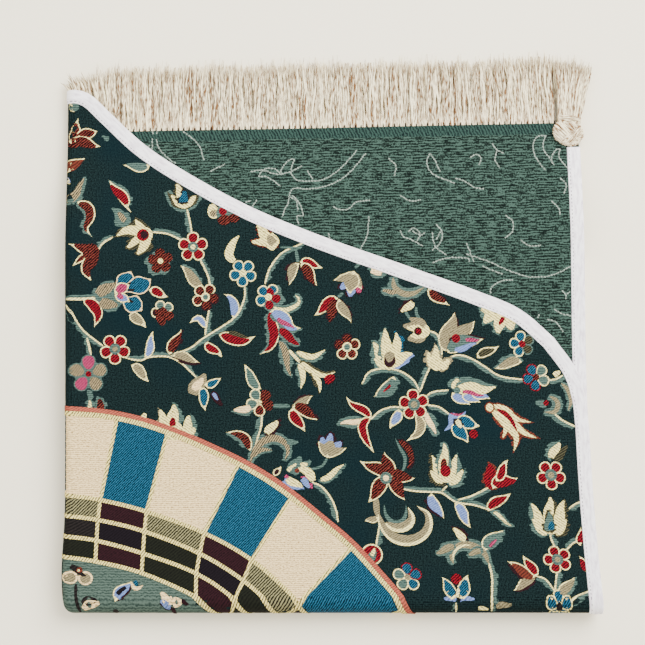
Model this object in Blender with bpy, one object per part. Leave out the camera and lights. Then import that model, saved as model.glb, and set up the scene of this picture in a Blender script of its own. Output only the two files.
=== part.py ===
"""A folded prayer rug: one jacquard cloth with an arched end, bound along its sides and arch,
with a fringe on its straight end and a knotted tassel at each fringe corner.

The rug is laid out flat and then folded three times. First crosswise at its middle, with the
reverse inside. Then lengthwise at its centreline, the left half going behind. Last crosswise
again, the lower part of the four layers turned under. Metres, +Z up. +X runs across the rug
and +Y towards its fringe and arch. The face shows on top.

A flat point has three sizes: across, from the centreline; along, from the rug's middle, with
the arch at the plus end and the fringe at the minus end; and outward, off the cloth's own
mid-surface towards its face.
"""

import math

import bmesh
import bpy
import numpy as np
from mathutils import Matrix, Vector

# The rug laid flat
CLOTH_THICKNESS = 0.0014
HALF_WIDTH = 0.3315
ARCH_END = 0.5550  # middle of the rug to the arch's peak
FRINGE_END = 0.5285  # middle of the rug to the straight end
GAP = 0.0003  # between neighbouring pieces

# The three folds
LAYER_PITCH = 0.0033
MIDDLE_RADIUS = 0.5 * LAYER_PITCH
CENTRELINE_RADIUS = 1.0 * LAYER_PITCH
TUCK_RADIUS = 2.0 * LAYER_PITCH
TUCK_DEPTH = 0.2230  # how far the part turned under reaches
MIDDLE_STEPS = 4
CENTRELINE_STEPS = 6
TUCK_STEPS = 8

# The binding tape, folded over the cloth's edge
TAPE_THICKNESS = 0.00045
TAPE_WIDTH = 0.0080
TAPE_START = 0.0160  # from the fringe end down to the tape's ends, just below the knots
TAPE_REACH = GAP + TAPE_THICKNESS  # how far it stands off the cloth, on each side and at the edge

# The fringe
HEADING_WIDTH = 0.0030
HEADING_INSET = 0.0145  # from the cloth's sides, for the tassels' knots
STRAND_PITCH = 0.0034
STRAND_WIDTH = 0.0016
STRAND_TIP_WIDTH = 0.0011
STRAND_THICKNESS = 0.0010
STRAND_LENGTH = 0.0400
OVER_ARCH = (0.048, 0.075)  # nearer the centreline the strands lie on the arch and come down less
STRAND_LEVEL_FROM = 0.0120  # a strand has come down to its level this far from its root

# The knotted tassels
KNOT_RADIUS = 0.0095
KNOT_INSET = 0.0050  # from both edges of the cloth's corner to the knot's centre
NOTCH_RADIUS = KNOT_RADIUS + 0.0009
NOTCH_STEPS = 5
TASSEL_THICKNESS = 0.0046
TASSEL_SPACE = 0.0050  # from the lower tassel up to the upper one
TASSEL_LENGTH = 0.0380
TASSEL_HALF_SPREAD = 0.0115
TASSEL_STRANDS_ACROSS = 8
TASSEL_STRAND_THICKNESS = 0.0011
TASSEL_ROW_SPACE = 0.0015
TASSEL_STEP_DOWN = 0.0018  # the upper skirt's ends lie this much nearer the lower one
TASSEL_LEAN = math.radians(4.0)
KNOT_PROFILE = [
    # up from the knot's centre, half width, half thickness, as shares of the knot's radius
    (-0.96, 0.34, 0.40),
    (-0.72, 0.70, 0.80),
    (-0.26, 0.97, 1.00),
    (0.26, 0.97, 1.00),
    (0.72, 0.72, 0.85),
    (0.98, 0.58, 0.70),
    (1.25, 0.66, 0.66),
]

# The arch's outline: across from the centreline, and below the arch's peak
ARCH_OUTLINE = [
    # across, below
    (0.0000, 0.0000),
    (0.0140, 0.0040),
    (0.0270, 0.0160),
    (0.0500, 0.0375),
    (0.0800, 0.0575),
    (0.1200, 0.0795),
    (0.1650, 0.0985),
    (0.2150, 0.1165),
    (0.2620, 0.1335),
    (0.2900, 0.1455),
    (0.3110, 0.1630),
    (0.3245, 0.1820),
    (0.3300, 0.2000),
    (0.3315, 0.2180),
]
ARCH_CORNER = 10  # the outline's row where the arch turns into the side

# How the folded stack lies
SLOPE_START = 0.0040  # past the part turned under, the layers come down
SLOPE_END = 0.0950
EDGE_RAMP = (0.290, 0.318)  # towards the bound edge the cloth lifts by the tape below it
ARCH_LEAN = 0.52  # the arch falls this much for each metre across
SAG_RAMP = (0.002, 0.050)  # past the arch the layers beneath it come down
SIDE_LEAN = 0.012
SIDE_FLARE = 0.030
FLARE_REACH = 0.170
END_SKEW = 0.0206
CORNER_BULGE = 0.0025
WAVE = 0.030

COLOURS = {
    # colour, roughness
    "cloth": ((0.012, 0.035, 0.034), 0.9),
    "binding": ((0.85, 0.83, 0.84), 0.8),
    "fringe": ((0.80, 0.70, 0.53), 0.85),
}


def ease(value, start, end):
    """0 before start, 1 after end, and a soft rise between."""
    share = min(max((value - start) / (end - start), 0.0), 1.0)
    return 0.5 - 0.5 * math.cos(math.pi * share)


def fold(along, outward, radius):
    """Where a strip turns under itself. The half turn is centred at along = 0."""
    half_turn = 0.5 * math.pi * radius
    if along >= half_turn:
        return along - half_turn, radius + outward
    if along <= -half_turn:
        return -along - half_turn, -radius - outward
    angle = (half_turn - along) / radius
    return -(radius + outward) * math.sin(angle), (radius + outward) * math.cos(angle)


MIDDLE_HALF = 0.5 * math.pi * MIDDLE_RADIUS
CENTRE_BAND = 0.5 * math.pi * CENTRELINE_RADIUS
TURN_HALF = 0.5 * math.pi * TUCK_RADIUS
STACK_HALF = 3.5 * LAYER_PITCH + 0.5 * CLOTH_THICKNESS
TUCK_LINE = TUCK_DEPTH - STACK_HALF + TURN_HALF - MIDDLE_RADIUS - 0.5 * CLOTH_THICKNESS
PEAK_UP = ARCH_END - MIDDLE_HALF - TUCK_LINE - TURN_HALF + STACK_HALF  # the arch's peak, from the tucked edge


def settle(across, up, height):
    """Moves a point of the square, level stack to where the folded rug lies."""
    down = ease(up, TUCK_DEPTH + SLOPE_START, TUCK_DEPTH + SLOPE_END)
    edge = ease(across, *EDGE_RAMP)
    past = up + ARCH_LEAN * across - PEAK_UP
    height -= down * (4.0 * LAYER_PITCH - TAPE_REACH)
    height -= down * ease(past, *SAG_RAMP) * LAYER_PITCH
    height += (1.0 - down) * edge * TAPE_REACH
    height *= 1.0 + WAVE * math.sin(21.0 * across + 9.0 * up) * math.cos(26.0 * up - 7.0 * across)
    level = up + END_SKEW * across * ease(up, 0.0, 0.300)
    flare = max(0.0, 1.0 - up / FLARE_REACH)
    wide = across * (1.0 + SIDE_LEAN * (0.5 - up / 0.300) + SIDE_FLARE * flare * flare)
    bulge = math.exp(-(((up - 0.026) / 0.026) ** 2)) * math.exp(-abs(across) / 0.040)
    return wide - CORNER_BULGE * bulge, level, height


def folded(across, along, outward):
    """The flat point's place in the folded rug, before the rug is centred on its origin."""
    stacked, height = fold(along, outward, MIDDLE_RADIUS)
    over, height = fold(across, height, CENTRELINE_RADIUS)
    up, height = fold(stacked - TUCK_LINE, height, TUCK_RADIUS)
    return Vector(settle(over, up + STACK_HALF, height + STACK_HALF))


def curve_through(points):
    """A smooth curve through the given points, in steps fine enough to measure along."""
    ends = [2 * points[0] - points[1]] + list(points) + [2 * points[-1] - points[-2]]
    dense = []
    for row in range(1, len(ends) - 2):
        before, start, end, after = ends[row - 1 : row + 3]
        for share in np.linspace(0.0, 1.0, 12, endpoint=False):
            cubic = (3 * start - before - 3 * end + after) * share + 2 * before - 5 * start + 4 * end - after
            dense.append(start + 0.5 * share * (end - before + share * cubic))
    return np.array(dense + [ends[-2]])


def even_steps(curve, steps):
    """Points at even steps along a finely drawn curve, its ends included."""
    reach = np.concatenate([[0.0], np.cumsum(np.linalg.norm(np.diff(curve, axis=0), axis=1))])
    marks = np.linspace(0.0, reach[-1], steps + 1)
    return np.stack([np.interp(marks, reach, curve[:, 0]), np.interp(marks, reach, curve[:, 1])], axis=1)


def quarter(side, end, centre_across, columns, rows):
    """Flat points of one quarter of the cloth, rows by columns, between its centre and its side.

    side runs from the base line out to the corner, and end from the centre to the corner.
    columns are the base line's places across, and rows the centre line's places along.
    """
    f = (columns - columns[0]) / (columns[-1] - columns[0])
    t = (rows - rows[0]) / (rows[-1] - rows[0])
    base = np.stack([columns, np.full(len(columns), rows[0])], axis=1)
    centre = np.stack([np.full(len(rows), centre_across), rows], axis=1)
    f, t = f[None, :, None], t[:, None, None]
    bilinear = (1 - f) * (1 - t) * base[0] + f * (1 - t) * base[-1] + (1 - f) * t * end[0] + f * t * end[-1]
    return (1 - t) * base[None] + t * end[None] + (1 - f) * centre[:, None] + f * side[:, None] - bilinear


def steps_between(*places_and_counts):
    """Places joined by even steps: place, count, place, count, place and so on."""
    places = [np.array([places_and_counts[0]])]
    for count, start, end in zip(places_and_counts[1::2], places_and_counts[::2], places_and_counts[2::2]):
        places.append(np.linspace(start, end, count + 1)[1:])
    return np.concatenate(places)


TURN_END = TUCK_LINE + TURN_HALF + MIDDLE_HALF
ARCH_BASE = TURN_END + 0.040  # the cloth's grid follows the arch from here
FRINGE_BASE = TURN_END + 0.205  # and the knots' notches from here


def columns_across():
    """The cloth's places across, from the centre band's edge to the side."""
    under_tape = HALF_WIDTH - TAPE_WIDTH
    return steps_between(CENTRE_BAND, 2, 0.028, 1, 0.050, 6, 0.250, 1, 0.290, 1, 0.3125, 2, under_tape, 2, HALF_WIDTH)


def arch_quarter():
    """The right quarter towards the arch, from the base line up."""
    points = [np.array((across, ARCH_END - below)) for across, below in ARCH_OUTLINE]
    arch = curve_through(points[: ARCH_CORNER + 1])
    columns = columns_across()
    narrowing = (points[ARCH_CORNER][0] - CENTRE_BAND) / (HALF_WIDTH - CENTRE_BAND)
    across = CENTRE_BAND + (columns - CENTRE_BAND) * narrowing
    end = np.stack([across, np.interp(across, arch[:, 0], arch[:, 1])], axis=1)
    end[0][1] = ARCH_END
    shoulder = even_steps(curve_through(points[ARCH_CORNER:]), 5)[::-1]
    straight = np.stack([np.full(6, HALF_WIDTH), np.linspace(ARCH_BASE, shoulder[0][1], 7)[:-1]], axis=1)
    side = np.concatenate([straight, shoulder])
    rows = steps_between(ARCH_BASE, 3, ARCH_BASE + 0.140, 7, ARCH_END - TAPE_WIDTH, 1, ARCH_END)
    return quarter(side, end, CENTRE_BAND, columns, rows)


def fringe_quarter():
    """The right quarter towards the fringe, from its base line up, notched for the tassel's knot."""
    knot = np.array((HALF_WIDTH - KNOT_INSET, FRINGE_END - KNOT_INSET))
    past_square = math.asin(KNOT_INSET / NOTCH_RADIUS)
    angles = np.linspace(-math.pi - past_square, -0.5 * math.pi + past_square, NOTCH_STEPS + 1)
    notch = knot + NOTCH_RADIUS * np.stack([np.cos(angles), np.sin(angles)], axis=1)
    columns = columns_across()
    places = columns[: -NOTCH_STEPS - 1]
    places = CENTRE_BAND + (places - CENTRE_BAND) * notch[0][0] / columns[-NOTCH_STEPS - 1]
    end = np.concatenate([np.stack([places, np.full(len(places), FRINGE_END)], axis=1), notch])
    rows = steps_between(FRINGE_BASE, 7, FRINGE_END - 0.010, 1, FRINGE_END)
    share = (rows - rows[0]) / (rows[-1] - rows[0])
    side = np.stack([np.full(len(rows), HALF_WIDTH), rows[0] + share * (notch[-1][1] - rows[0])], axis=1)
    return quarter(side, end, CENTRE_BAND, columns, rows)


def middle_rows():
    """Places along between the two base lines, from the fringe side to the arch side."""
    turn_start = TUCK_LINE - TURN_HALF + MIDDLE_HALF
    halves = (
        steps_between(-FRINGE_BASE, 3, -TURN_END, TUCK_STEPS, -turn_start, 3, -MIDDLE_HALF),
        steps_between(MIDDLE_HALF, 3, turn_start, TUCK_STEPS, TURN_END, 2, ARCH_BASE),
    )
    bend = np.linspace(-MIDDLE_HALF, MIDDLE_HALF, MIDDLE_STEPS + 1)[1:-1]
    return np.concatenate([halves[0], bend, halves[1]])


def cloth_points():
    """All the cloth's flat points, rows by columns: from the fringe end, and from the left side."""
    fringe_part = fringe_quarter()[::-1] * (1, -1)
    rows = middle_rows()
    columns = columns_across()
    middle = np.stack(np.meshgrid(columns, rows), axis=-1)
    right = np.concatenate([fringe_part, middle[1:-1], arch_quarter()])
    band = np.linspace(-CENTRE_BAND, CENTRE_BAND, CENTRELINE_STEPS + 1)[1:-1]
    alongs = np.broadcast_to(right[:, :1, 1], (len(right), len(band)))
    centre = np.stack([np.broadcast_to(band, alongs.shape), alongs], axis=-1)
    points = np.concatenate([right[:, ::-1] * (-1, 1), centre, right], axis=1)
    arch = points[-1, ::-1]
    points[-2, 2:-2] = (arch + TAPE_WIDTH * inward(arch))[::-1][2:-2]
    return points


def inward(edge):
    """Steps into the cloth from each point of its edge, mitred. The cloth lies on the edge's left."""
    runs = np.diff(edge, axis=0)
    runs /= np.linalg.norm(runs, axis=1)[:, None]
    behind = np.concatenate([runs[:1], runs])
    ahead = np.concatenate([runs, runs[-1:]])
    along = behind + ahead
    along /= np.linalg.norm(along, axis=1)[:, None]
    mitre = 1.0 / (along * ahead).sum(axis=1)
    return np.stack([-along[:, 1] * mitre, along[:, 0] * mitre], axis=1)


def bound_edge(points):
    """The cloth's bound edge, from the right notch up the side, round the arch and down the left."""
    right = points[:, -1].copy()
    right[0][1] = TAPE_START - FRINGE_END
    arch = points[-1, ::-1]
    left = right[::-1] * (-1, 1)
    return np.concatenate([right, arch[1:-1], left])


def node(name, mesh_data, finish):
    """Puts a finished bmesh into the scene as one named object with its own material."""
    mesh = bpy.data.meshes.new(name)
    bmesh.ops.recalc_face_normals(mesh_data, faces=mesh_data.faces)
    if mesh_data.calc_volume(signed=True) < 0.0:
        bmesh.ops.reverse_faces(mesh_data, faces=mesh_data.faces)
    bmesh.ops.triangulate(mesh_data, faces=mesh_data.faces, quad_method="SHORT_EDGE")
    mesh_data.to_mesh(mesh)
    mesh_data.free()
    colour, roughness = COLOURS[finish]
    material = bpy.data.materials.new(name)
    material.use_nodes = True
    shader = material.node_tree.nodes["Principled BSDF"]
    shader.inputs["Base Color"].default_value = (*colour, 1.0)
    shader.inputs["Roughness"].default_value = roughness
    shader.inputs["Metallic"].default_value = 0.0
    mesh.materials.append(material)
    mesh.shade_smooth()
    mesh.set_sharp_from_angle(angle=math.radians(40))
    return bpy.data.objects.new(name, mesh)


def fold_all(mesh_data):
    """Folds a flat bmesh, whose points are across, along and outward."""
    for vertex in mesh_data.verts:
        vertex.co = folded(*vertex.co)


def cloth():
    """The whole cloth: a flat grid cut to the rug's outline, thickened, and folded."""
    points = cloth_points()
    rows, columns = points.shape[:2]
    sheet = bmesh.new()
    bmesh.ops.create_grid(sheet, x_segments=columns - 1, y_segments=rows - 1, size=1.0)
    for vertex in sheet.verts:
        column = round((vertex.co.x + 1.0) / 2.0 * (columns - 1))
        row = round((vertex.co.y + 1.0) / 2.0 * (rows - 1))
        across, along = points[row, column]
        vertex.co = (across, along, -0.5 * CLOTH_THICKNESS)
    lower = list(sheet.faces)
    raised = bmesh.ops.extrude_face_region(sheet, geom=lower, use_keep_orig=True)["geom"]
    upper = [item for item in raised if isinstance(item, bmesh.types.BMVert)]
    bmesh.ops.translate(sheet, verts=upper, vec=(0.0, 0.0, CLOTH_THICKNESS))
    fold_all(sheet)
    return node("rug_cloth", sheet, "cloth")


def binding(edge):
    """The tape: one channel section carried along the cloth's bound edge."""
    outer = 0.5 * CLOTH_THICKNESS + TAPE_REACH
    inner = 0.5 * CLOTH_THICKNESS + GAP
    section = [
        # inward from the cloth's edge, outward from its mid-surface
        (TAPE_WIDTH, outer),
        (-TAPE_REACH, outer),
        (-TAPE_REACH, -outer),
        (TAPE_WIDTH, -outer),
        (TAPE_WIDTH, -inner),
        (-GAP, -inner),
        (-GAP, inner),
        (TAPE_WIDTH, inner),
    ]
    tape = bmesh.new()
    rings = []
    for place, step in zip(edge, inward(edge)):
        rings.append([tape.verts.new((*(place + inset * step), outward)) for inset, outward in section])
    for first, second in zip(rings, rings[1:]):
        for corner in range(len(section)):
            following = (corner + 1) % len(section)
            tape.faces.new((first[corner], first[following], second[following], second[corner]))
    tape.faces.new(rings[0])
    tape.faces.new(rings[-1])
    fold_all(tape)
    return node("edge_binding", tape, "binding")


def lay_strand(mesh_data, face, lean, length):
    """Draws one strand out of a face of the heading: down to its level, then along it."""
    root = face.calc_center_median()
    downward = 1.0 if root.x > 0.0 else -1.0
    sink = TAPE_REACH + 0.5 * (CLOTH_THICKNESS - STRAND_THICKNESS)
    sink *= ease(abs(root.x), *OVER_ARCH)
    stages = ((STRAND_LEVEL_FROM / STRAND_LENGTH, STRAND_WIDTH), (1.0, STRAND_TIP_WIDTH))
    for share, width in stages:
        face = bmesh.ops.extrude_discrete_faces(mesh_data, faces=[face])["faces"][0]
        centre = face.calc_center_median()
        middle = Vector((root.x + lean * share, root.y - length * share, downward * sink))
        for vertex in face.verts:
            offset = vertex.co - centre
            across = math.copysign(0.5 * width, offset.x)
            outward = math.copysign(0.5 * STRAND_THICKNESS, offset.z)
            vertex.co = middle + Vector((across, 0.0, outward))


def fringe():
    """The fringe: a narrow heading along the straight end, with a strand out of every other step."""
    reach = HALF_WIDTH - HEADING_INSET
    steps = 2 * round(2.0 * reach / STRAND_PITCH) - 1
    near = -FRINGE_END - GAP
    strip = bmesh.new()
    bmesh.ops.create_grid(strip, x_segments=steps, y_segments=1, size=1.0)
    for vertex in strip.verts:
        along = near if vertex.co.y > 0.0 else near - HEADING_WIDTH
        vertex.co = (vertex.co.x * reach, along, -0.5 * CLOTH_THICKNESS)
    raised = bmesh.ops.extrude_face_region(strip, geom=list(strip.faces), use_keep_orig=True)["geom"]
    upper = [item for item in raised if isinstance(item, bmesh.types.BMVert)]
    bmesh.ops.translate(strip, verts=upper, vec=(0.0, 0.0, CLOTH_THICKNESS))
    strip.normal_update()
    front = [face for face in strip.faces if abs(face.calc_center_median().y - near + HEADING_WIDTH) < 1e-6]
    front.sort(key=lambda face: face.calc_center_median().x)
    thin_out_heading(strip, near)
    for number, face in enumerate(front):
        place = face.calc_center_median().x
        if number % 2 or abs(place) < CENTRE_BAND:
            continue
        side = max(0.0, abs(place) - 0.200) / 0.130
        lean = 0.0020 * math.sin(number * 1.7) - 0.0045 * math.copysign(side * side, place)
        lean -= 0.0050 * math.copysign(max(0.0, 1.0 - abs(place) / 0.030), place)
        length = STRAND_LENGTH + 0.0012 * math.sin(number * 2.9)
        lay_strand(strip, face, lean, length)
    fold_all(strip)
    return node("end_fringe", strip, "fringe")


def thin_out_heading(strip, near):
    """Joins the heading's small faces into longer ones, away from its front and the centre fold."""
    back_places = sorted({round(v.co.x, 7) for v in strip.verts if abs(v.co.y - near) < 1e-7})
    kept = {place for number, place in enumerate(back_places) if number % 6 == 0}
    kept |= {back_places[-1]}
    spare = []
    for edge in strip.edges:
        ends = [vertex.co for vertex in edge.verts]
        place = round(ends[0].x, 7)
        upright = abs(ends[0].x - ends[1].x) < 1e-7
        at_back = abs(ends[0].y - near) < 1e-7 or abs(ends[1].y - near) < 1e-7
        if upright and at_back and place not in kept and abs(place) > 2.0 * CENTRE_BAND:
            spare.append(edge)
    bmesh.ops.dissolve_edges(strip, edges=spare, use_verts=True)


def knot_point(across, level, outward):
    """A point of the knot from its grid: across and outward run from -1 to 1, level is a profile row."""
    up, half_width, half_thickness = KNOT_PROFILE[round(level)]
    rounded = math.sqrt(1.0 - 0.88 * across * across)
    return Vector(
        (
            across * half_width * KNOT_RADIUS,
            up * KNOT_RADIUS,
            outward * half_thickness * rounded * 0.5 * TASSEL_THICKNESS,
        )
    )


def tassel(name, half):
    """A knot with a skirt of strands, laid at one corner. half is 1 for the upper, -1 for the lower."""
    body = bmesh.new()
    bmesh.ops.create_grid(body, x_segments=TASSEL_STRANDS_ACROSS, y_segments=2, size=1.0)
    for vertex in body.verts:
        vertex.co = (vertex.co.x, 0.0, vertex.co.y)
    cap = list(body.faces)
    for level in range(1, len(KNOT_PROFILE)):
        below = cap
        raised = bmesh.ops.extrude_face_region(body, geom=below)["geom"]
        cap = [item for item in raised if isinstance(item, bmesh.types.BMFace)]
        moved = list({vertex for face in cap for vertex in face.verts})
        bmesh.ops.translate(body, verts=moved, vec=(0.0, 1.0, 0.0))
        if level > 1:
            bmesh.ops.delete(body, geom=below, context="FACES")
    for vertex in body.verts:
        vertex.co = knot_point(*vertex.co)
    level = 0.5 * TASSEL_STRAND_THICKNESS - 0.5 * TASSEL_THICKNESS
    step_down = TASSEL_STEP_DOWN if half > 0 else 0.0
    for face in cap:
        root = face.calc_center_median()
        spread = root.x / (KNOT_PROFILE[-1][1] * KNOT_RADIUS)
        row = level + (TASSEL_ROW_SPACE if root.z > 0.0 else 0.0)
        length = TASSEL_LENGTH - 0.004 * spread * spread - (0.0015 if root.z > 0.0 else 0.0)
        for share, reach, size in ((0.30, 0.0075, 0.0013), (1.0, TASSEL_HALF_SPREAD, 0.0011)):
            face = bmesh.ops.extrude_discrete_faces(body, faces=[face])["faces"][0]
            centre = face.calc_center_median()
            middle = Vector((spread * reach, root.y + length * share, row - step_down * share))
            for vertex in face.verts:
                offset = vertex.co - centre
                side = math.copysign(0.5 * size, offset.x)
                vertex.co = middle + Vector((side, 0.0, math.copysign(0.5 * TASSEL_STRAND_THICKNESS, offset.z)))
    place = folded(half * (HALF_WIDTH - KNOT_INSET), KNOT_INSET - FRINGE_END, 0.0)
    place.z = 0.5 * TASSEL_THICKNESS + (TASSEL_SPACE if half > 0 else 0.0)
    turned = Matrix.Translation(place) @ Matrix.Rotation(-TASSEL_LEAN, 4, "Z")
    bmesh.ops.transform(body, matrix=turned, verts=body.verts)
    return node(name, body, "fringe")


def centre_on_origin(pieces):
    """Moves the pieces so that the middle of the rug's underside is the origin."""
    points = np.array([vertex.co for piece in pieces for vertex in piece.data.vertices])
    low, high = points.min(axis=0), points.max(axis=0)
    shift = Vector((-0.5 * (low[0] + high[0]), -0.5 * (low[1] + high[1]), -low[2]))
    for piece in pieces:
        piece.data.transform(Matrix.Translation(shift))


def main():
    for obj in list(bpy.data.objects):
        bpy.data.objects.remove(obj)
    pieces = [
        cloth(),
        binding(bound_edge(cloth_points())),
        fringe(),
        tassel("corner_tassel_upper", 1),
        tassel("corner_tassel_lower", -1),
    ]
    centre_on_origin(pieces)
    parts = bpy.data.collections.new("prayer_rug")
    bpy.context.scene.collection.children.link(parts)
    for piece in pieces:
        parts.objects.link(piece)


if __name__ == "__main__":
    main()
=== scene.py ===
"""Dresses the folded prayer rug for its picture, on the solids' own folds.

The jacquard's motifs are thin raised patches of yarn that go through the same three folds as
the solids. Their places are pixels read off the photograph, which are taken back to the flat
cloth here, and the outlines about them are formulas. Metres, +Z up, unless a name says
millimetres. A flat point has three sizes: across, from the centreline; along, from the rug's
middle, plus towards the arch; and outward, off the cloth's mid-surface towards its face.
"""

from __future__ import annotations

import logging
import math
from dataclasses import dataclass, field
from enum import Enum
from typing import NamedTuple

import bpy
import numpy as np
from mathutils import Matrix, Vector
from mathutils.geometry import delaunay_2d_cdt

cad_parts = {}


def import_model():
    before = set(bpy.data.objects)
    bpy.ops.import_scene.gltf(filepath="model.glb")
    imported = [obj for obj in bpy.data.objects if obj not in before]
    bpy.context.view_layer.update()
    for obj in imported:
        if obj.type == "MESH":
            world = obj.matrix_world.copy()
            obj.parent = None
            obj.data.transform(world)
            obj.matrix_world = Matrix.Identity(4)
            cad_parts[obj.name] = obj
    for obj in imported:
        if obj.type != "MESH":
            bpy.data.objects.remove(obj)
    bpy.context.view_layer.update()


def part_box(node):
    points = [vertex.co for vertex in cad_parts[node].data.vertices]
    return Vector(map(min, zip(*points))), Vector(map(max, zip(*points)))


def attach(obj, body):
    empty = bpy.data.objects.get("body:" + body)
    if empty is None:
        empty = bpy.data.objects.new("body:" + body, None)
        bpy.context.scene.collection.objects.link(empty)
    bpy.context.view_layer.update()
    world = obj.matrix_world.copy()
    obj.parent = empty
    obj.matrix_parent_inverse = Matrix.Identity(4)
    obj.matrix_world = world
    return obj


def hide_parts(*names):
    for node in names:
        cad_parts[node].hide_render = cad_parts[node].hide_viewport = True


LOG = logging.getLogger("prayer_rug")
MM = 0.001
MIRROR = (-1.0, 1.0)  # turns a flat place into its mirror image on the left half
WAVE_SCALE = 0.314  # of a wave texture with one band a millimetre
PETALS = 5
YARN_SHARP_DEG = 80.0
BLADE_PEAK = 0.260  # the most that a leaf's outline formula gives
Points = np.ndarray
Spot = tuple[float, float]
Colour = tuple[float, float, float, float]
Socket = bpy.types.NodeSocket


class Yarn(Enum):
    """The yarns that a patch of the pattern can be woven in."""

    LINE = "cream_twist"
    CREAM = "cream_satin"
    LINEN = "cream_linen"
    SAGE = "sage_float"
    TICK = "cream_tick"
    RED = "red_twill"
    MAROON = "maroon_twill"
    WINE = "wine_twill"
    BLUE = "blue_twill"
    LILAC = "lilac_satin"
    PINK = "pink_twill"
    OLIVE = "olive_twill"
    TAUPE = "taupe_satin"
    ROSE = "rose_twist"
    NIGHT = "night_twill"
    FIELD = "field_chenille"
    TRACE = "reverse_float"
    CORD = "ring_twist"
    HATCH = "hatch_twill"
    PLUM = "plum_twill"
    MOSS = "moss_twill"
    RUST = "rust_twill"
    BAND = "overlock_band"


class Side(Enum):
    """A side of a leaf or stem, seen from its base towards its tip."""

    LEFT = 1
    RIGHT = -1
    NONE = 0
    BOTH = 2


def ease(value: Points, start: float, end: float) -> Points:
    """Gives 0 before start, 1 after end, and a soft rise between."""
    share = np.clip((value - start) / (end - start), 0.0, 1.0)
    return 0.5 - 0.5 * np.cos(np.pi * share)


def hashed(value: Points) -> Points:
    """Gives a fixed pseudo-random share from 0 to 1 for each number."""
    turned = np.sin(np.asarray(value, dtype=float) * 127.1 + 11.7) * 43758.5453
    return turned - np.floor(turned)


def linear(colour: str) -> Colour:
    """Turns an sRGB hex colour into linear light.

    Args:
        colour: the colour as "#rrggbb".

    Returns:
        Red, green and blue, and an alpha of 1.
    """
    shares = [int(colour[place : place + 2], 16) / 255.0 for place in (1, 3, 5)]
    light = [s / 12.92 if s <= 0.04045 else ((s + 0.055) / 1.055) ** 2.4 for s in shares]
    return light[0], light[1], light[2], 1.0


class FinishNodes:
    """A material's node tree, whose patterns lie on the flat cloth."""

    def __init__(self, name: str) -> None:
        """Starts a new material."""
        self.material = bpy.data.materials.new(name)
        self.material.use_nodes = True
        self.tree = self.material.node_tree
        self.shader = self.tree.nodes["Principled BSDF"]

    def add(self, kind: str, settings: dict, inputs: dict) -> bpy.types.Node:
        """Adds one shader node with its settings and its links.

        Args:
            kind: Blender's name for the node, after "ShaderNode".
            settings: attributes to set on it.
            inputs: a constant or another node's output for each input's name or number.

        Returns:
            The new node.
        """
        node = self.tree.nodes.new("ShaderNode" + kind)
        for name, value in settings.items():
            setattr(node, name, value)
        for name, value in inputs.items():
            if isinstance(value, bpy.types.NodeSocket):
                self.tree.links.new(value, node.inputs[name])
            else:
                node.inputs[name].default_value = value
        return node

    def flat(self, scale: tuple[float, float, float] = (1e3, 1e3, 1e3), turn_deg: float = 0.0) -> Socket:
        """The place on the flat cloth: in millimetres, or drawn out by another scale."""
        place = self.add("UVMap", {"uv_map": "weave"}, {}).outputs["UV"]
        turn = (0.0, 0.0, math.radians(turn_deg))
        return self.add("Mapping", {}, {"Vector": place, "Rotation": turn, "Scale": scale}).outputs["Vector"]

    def bands(
        self, place: Socket, way: str, pitch_mm: float, bent: float, detail: float, detail_scale: float = 1.0
    ) -> Socket:
        """Ridges at a pitch, bent by noise."""
        shape = {"Distortion": bent, "Detail": detail, "Detail Scale": detail_scale}
        inputs = {"Vector": place, "Scale": WAVE_SCALE / pitch_mm, **shape}
        return self.add("TexWave", {"bands_direction": way}, inputs).outputs["Fac"]

    def noise(self, place: Socket, scale: float, detail: float) -> Socket:
        """Flat noise."""
        inputs = {"Vector": place, "Scale": scale, "Detail": detail}
        return self.add("TexNoise", {"noise_dimensions": "2D"}, inputs).outputs["Fac"]

    def math(self, operation: str, *values: Socket | float, clamp: bool = False) -> Socket:
        """A sum, product or the like of up to three values."""
        settings = {"operation": operation, "use_clamp": clamp}
        return self.add("Math", settings, dict(enumerate(values))).outputs[0]

    def spread(self, value: Socket, low: float, high: float, most: float = 1.0) -> Socket:
        """Spreads the values from low to high over 0 to most."""
        inputs = {"Value": value, "From Min": low, "From Max": high, "To Max": most}
        return self.add("MapRange", {}, inputs).outputs[0]

    def mix(self, share: Socket, low: Socket | Colour, high: Socket | Colour) -> Socket:
        """Mixes two colours."""
        return self.add("Mix", {"data_type": "RGBA"}, {0: share, 6: low, 7: high}).outputs[2]

    def raise_by(self, height: Socket, strength: float, relief_mm: float) -> None:
        """Lets the surface catch the light as if a height of so many millimetres stood on it."""
        inputs = {"Height": height, "Strength": strength, "Distance": relief_mm * MM}
        self.tree.links.new(self.add("Bump", {}, inputs).outputs["Normal"], self.shader.inputs["Normal"])

    def finish(self, colour: Socket, roughness: float, specular: float) -> bpy.types.Material:
        """Links the colour and gives the finished material."""
        self.tree.links.new(colour, self.shader.inputs["Base Color"])
        self.shader.inputs["Roughness"].default_value = roughness
        self.shader.inputs["Specular IOR Level"].default_value = specular
        return self.material


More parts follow.
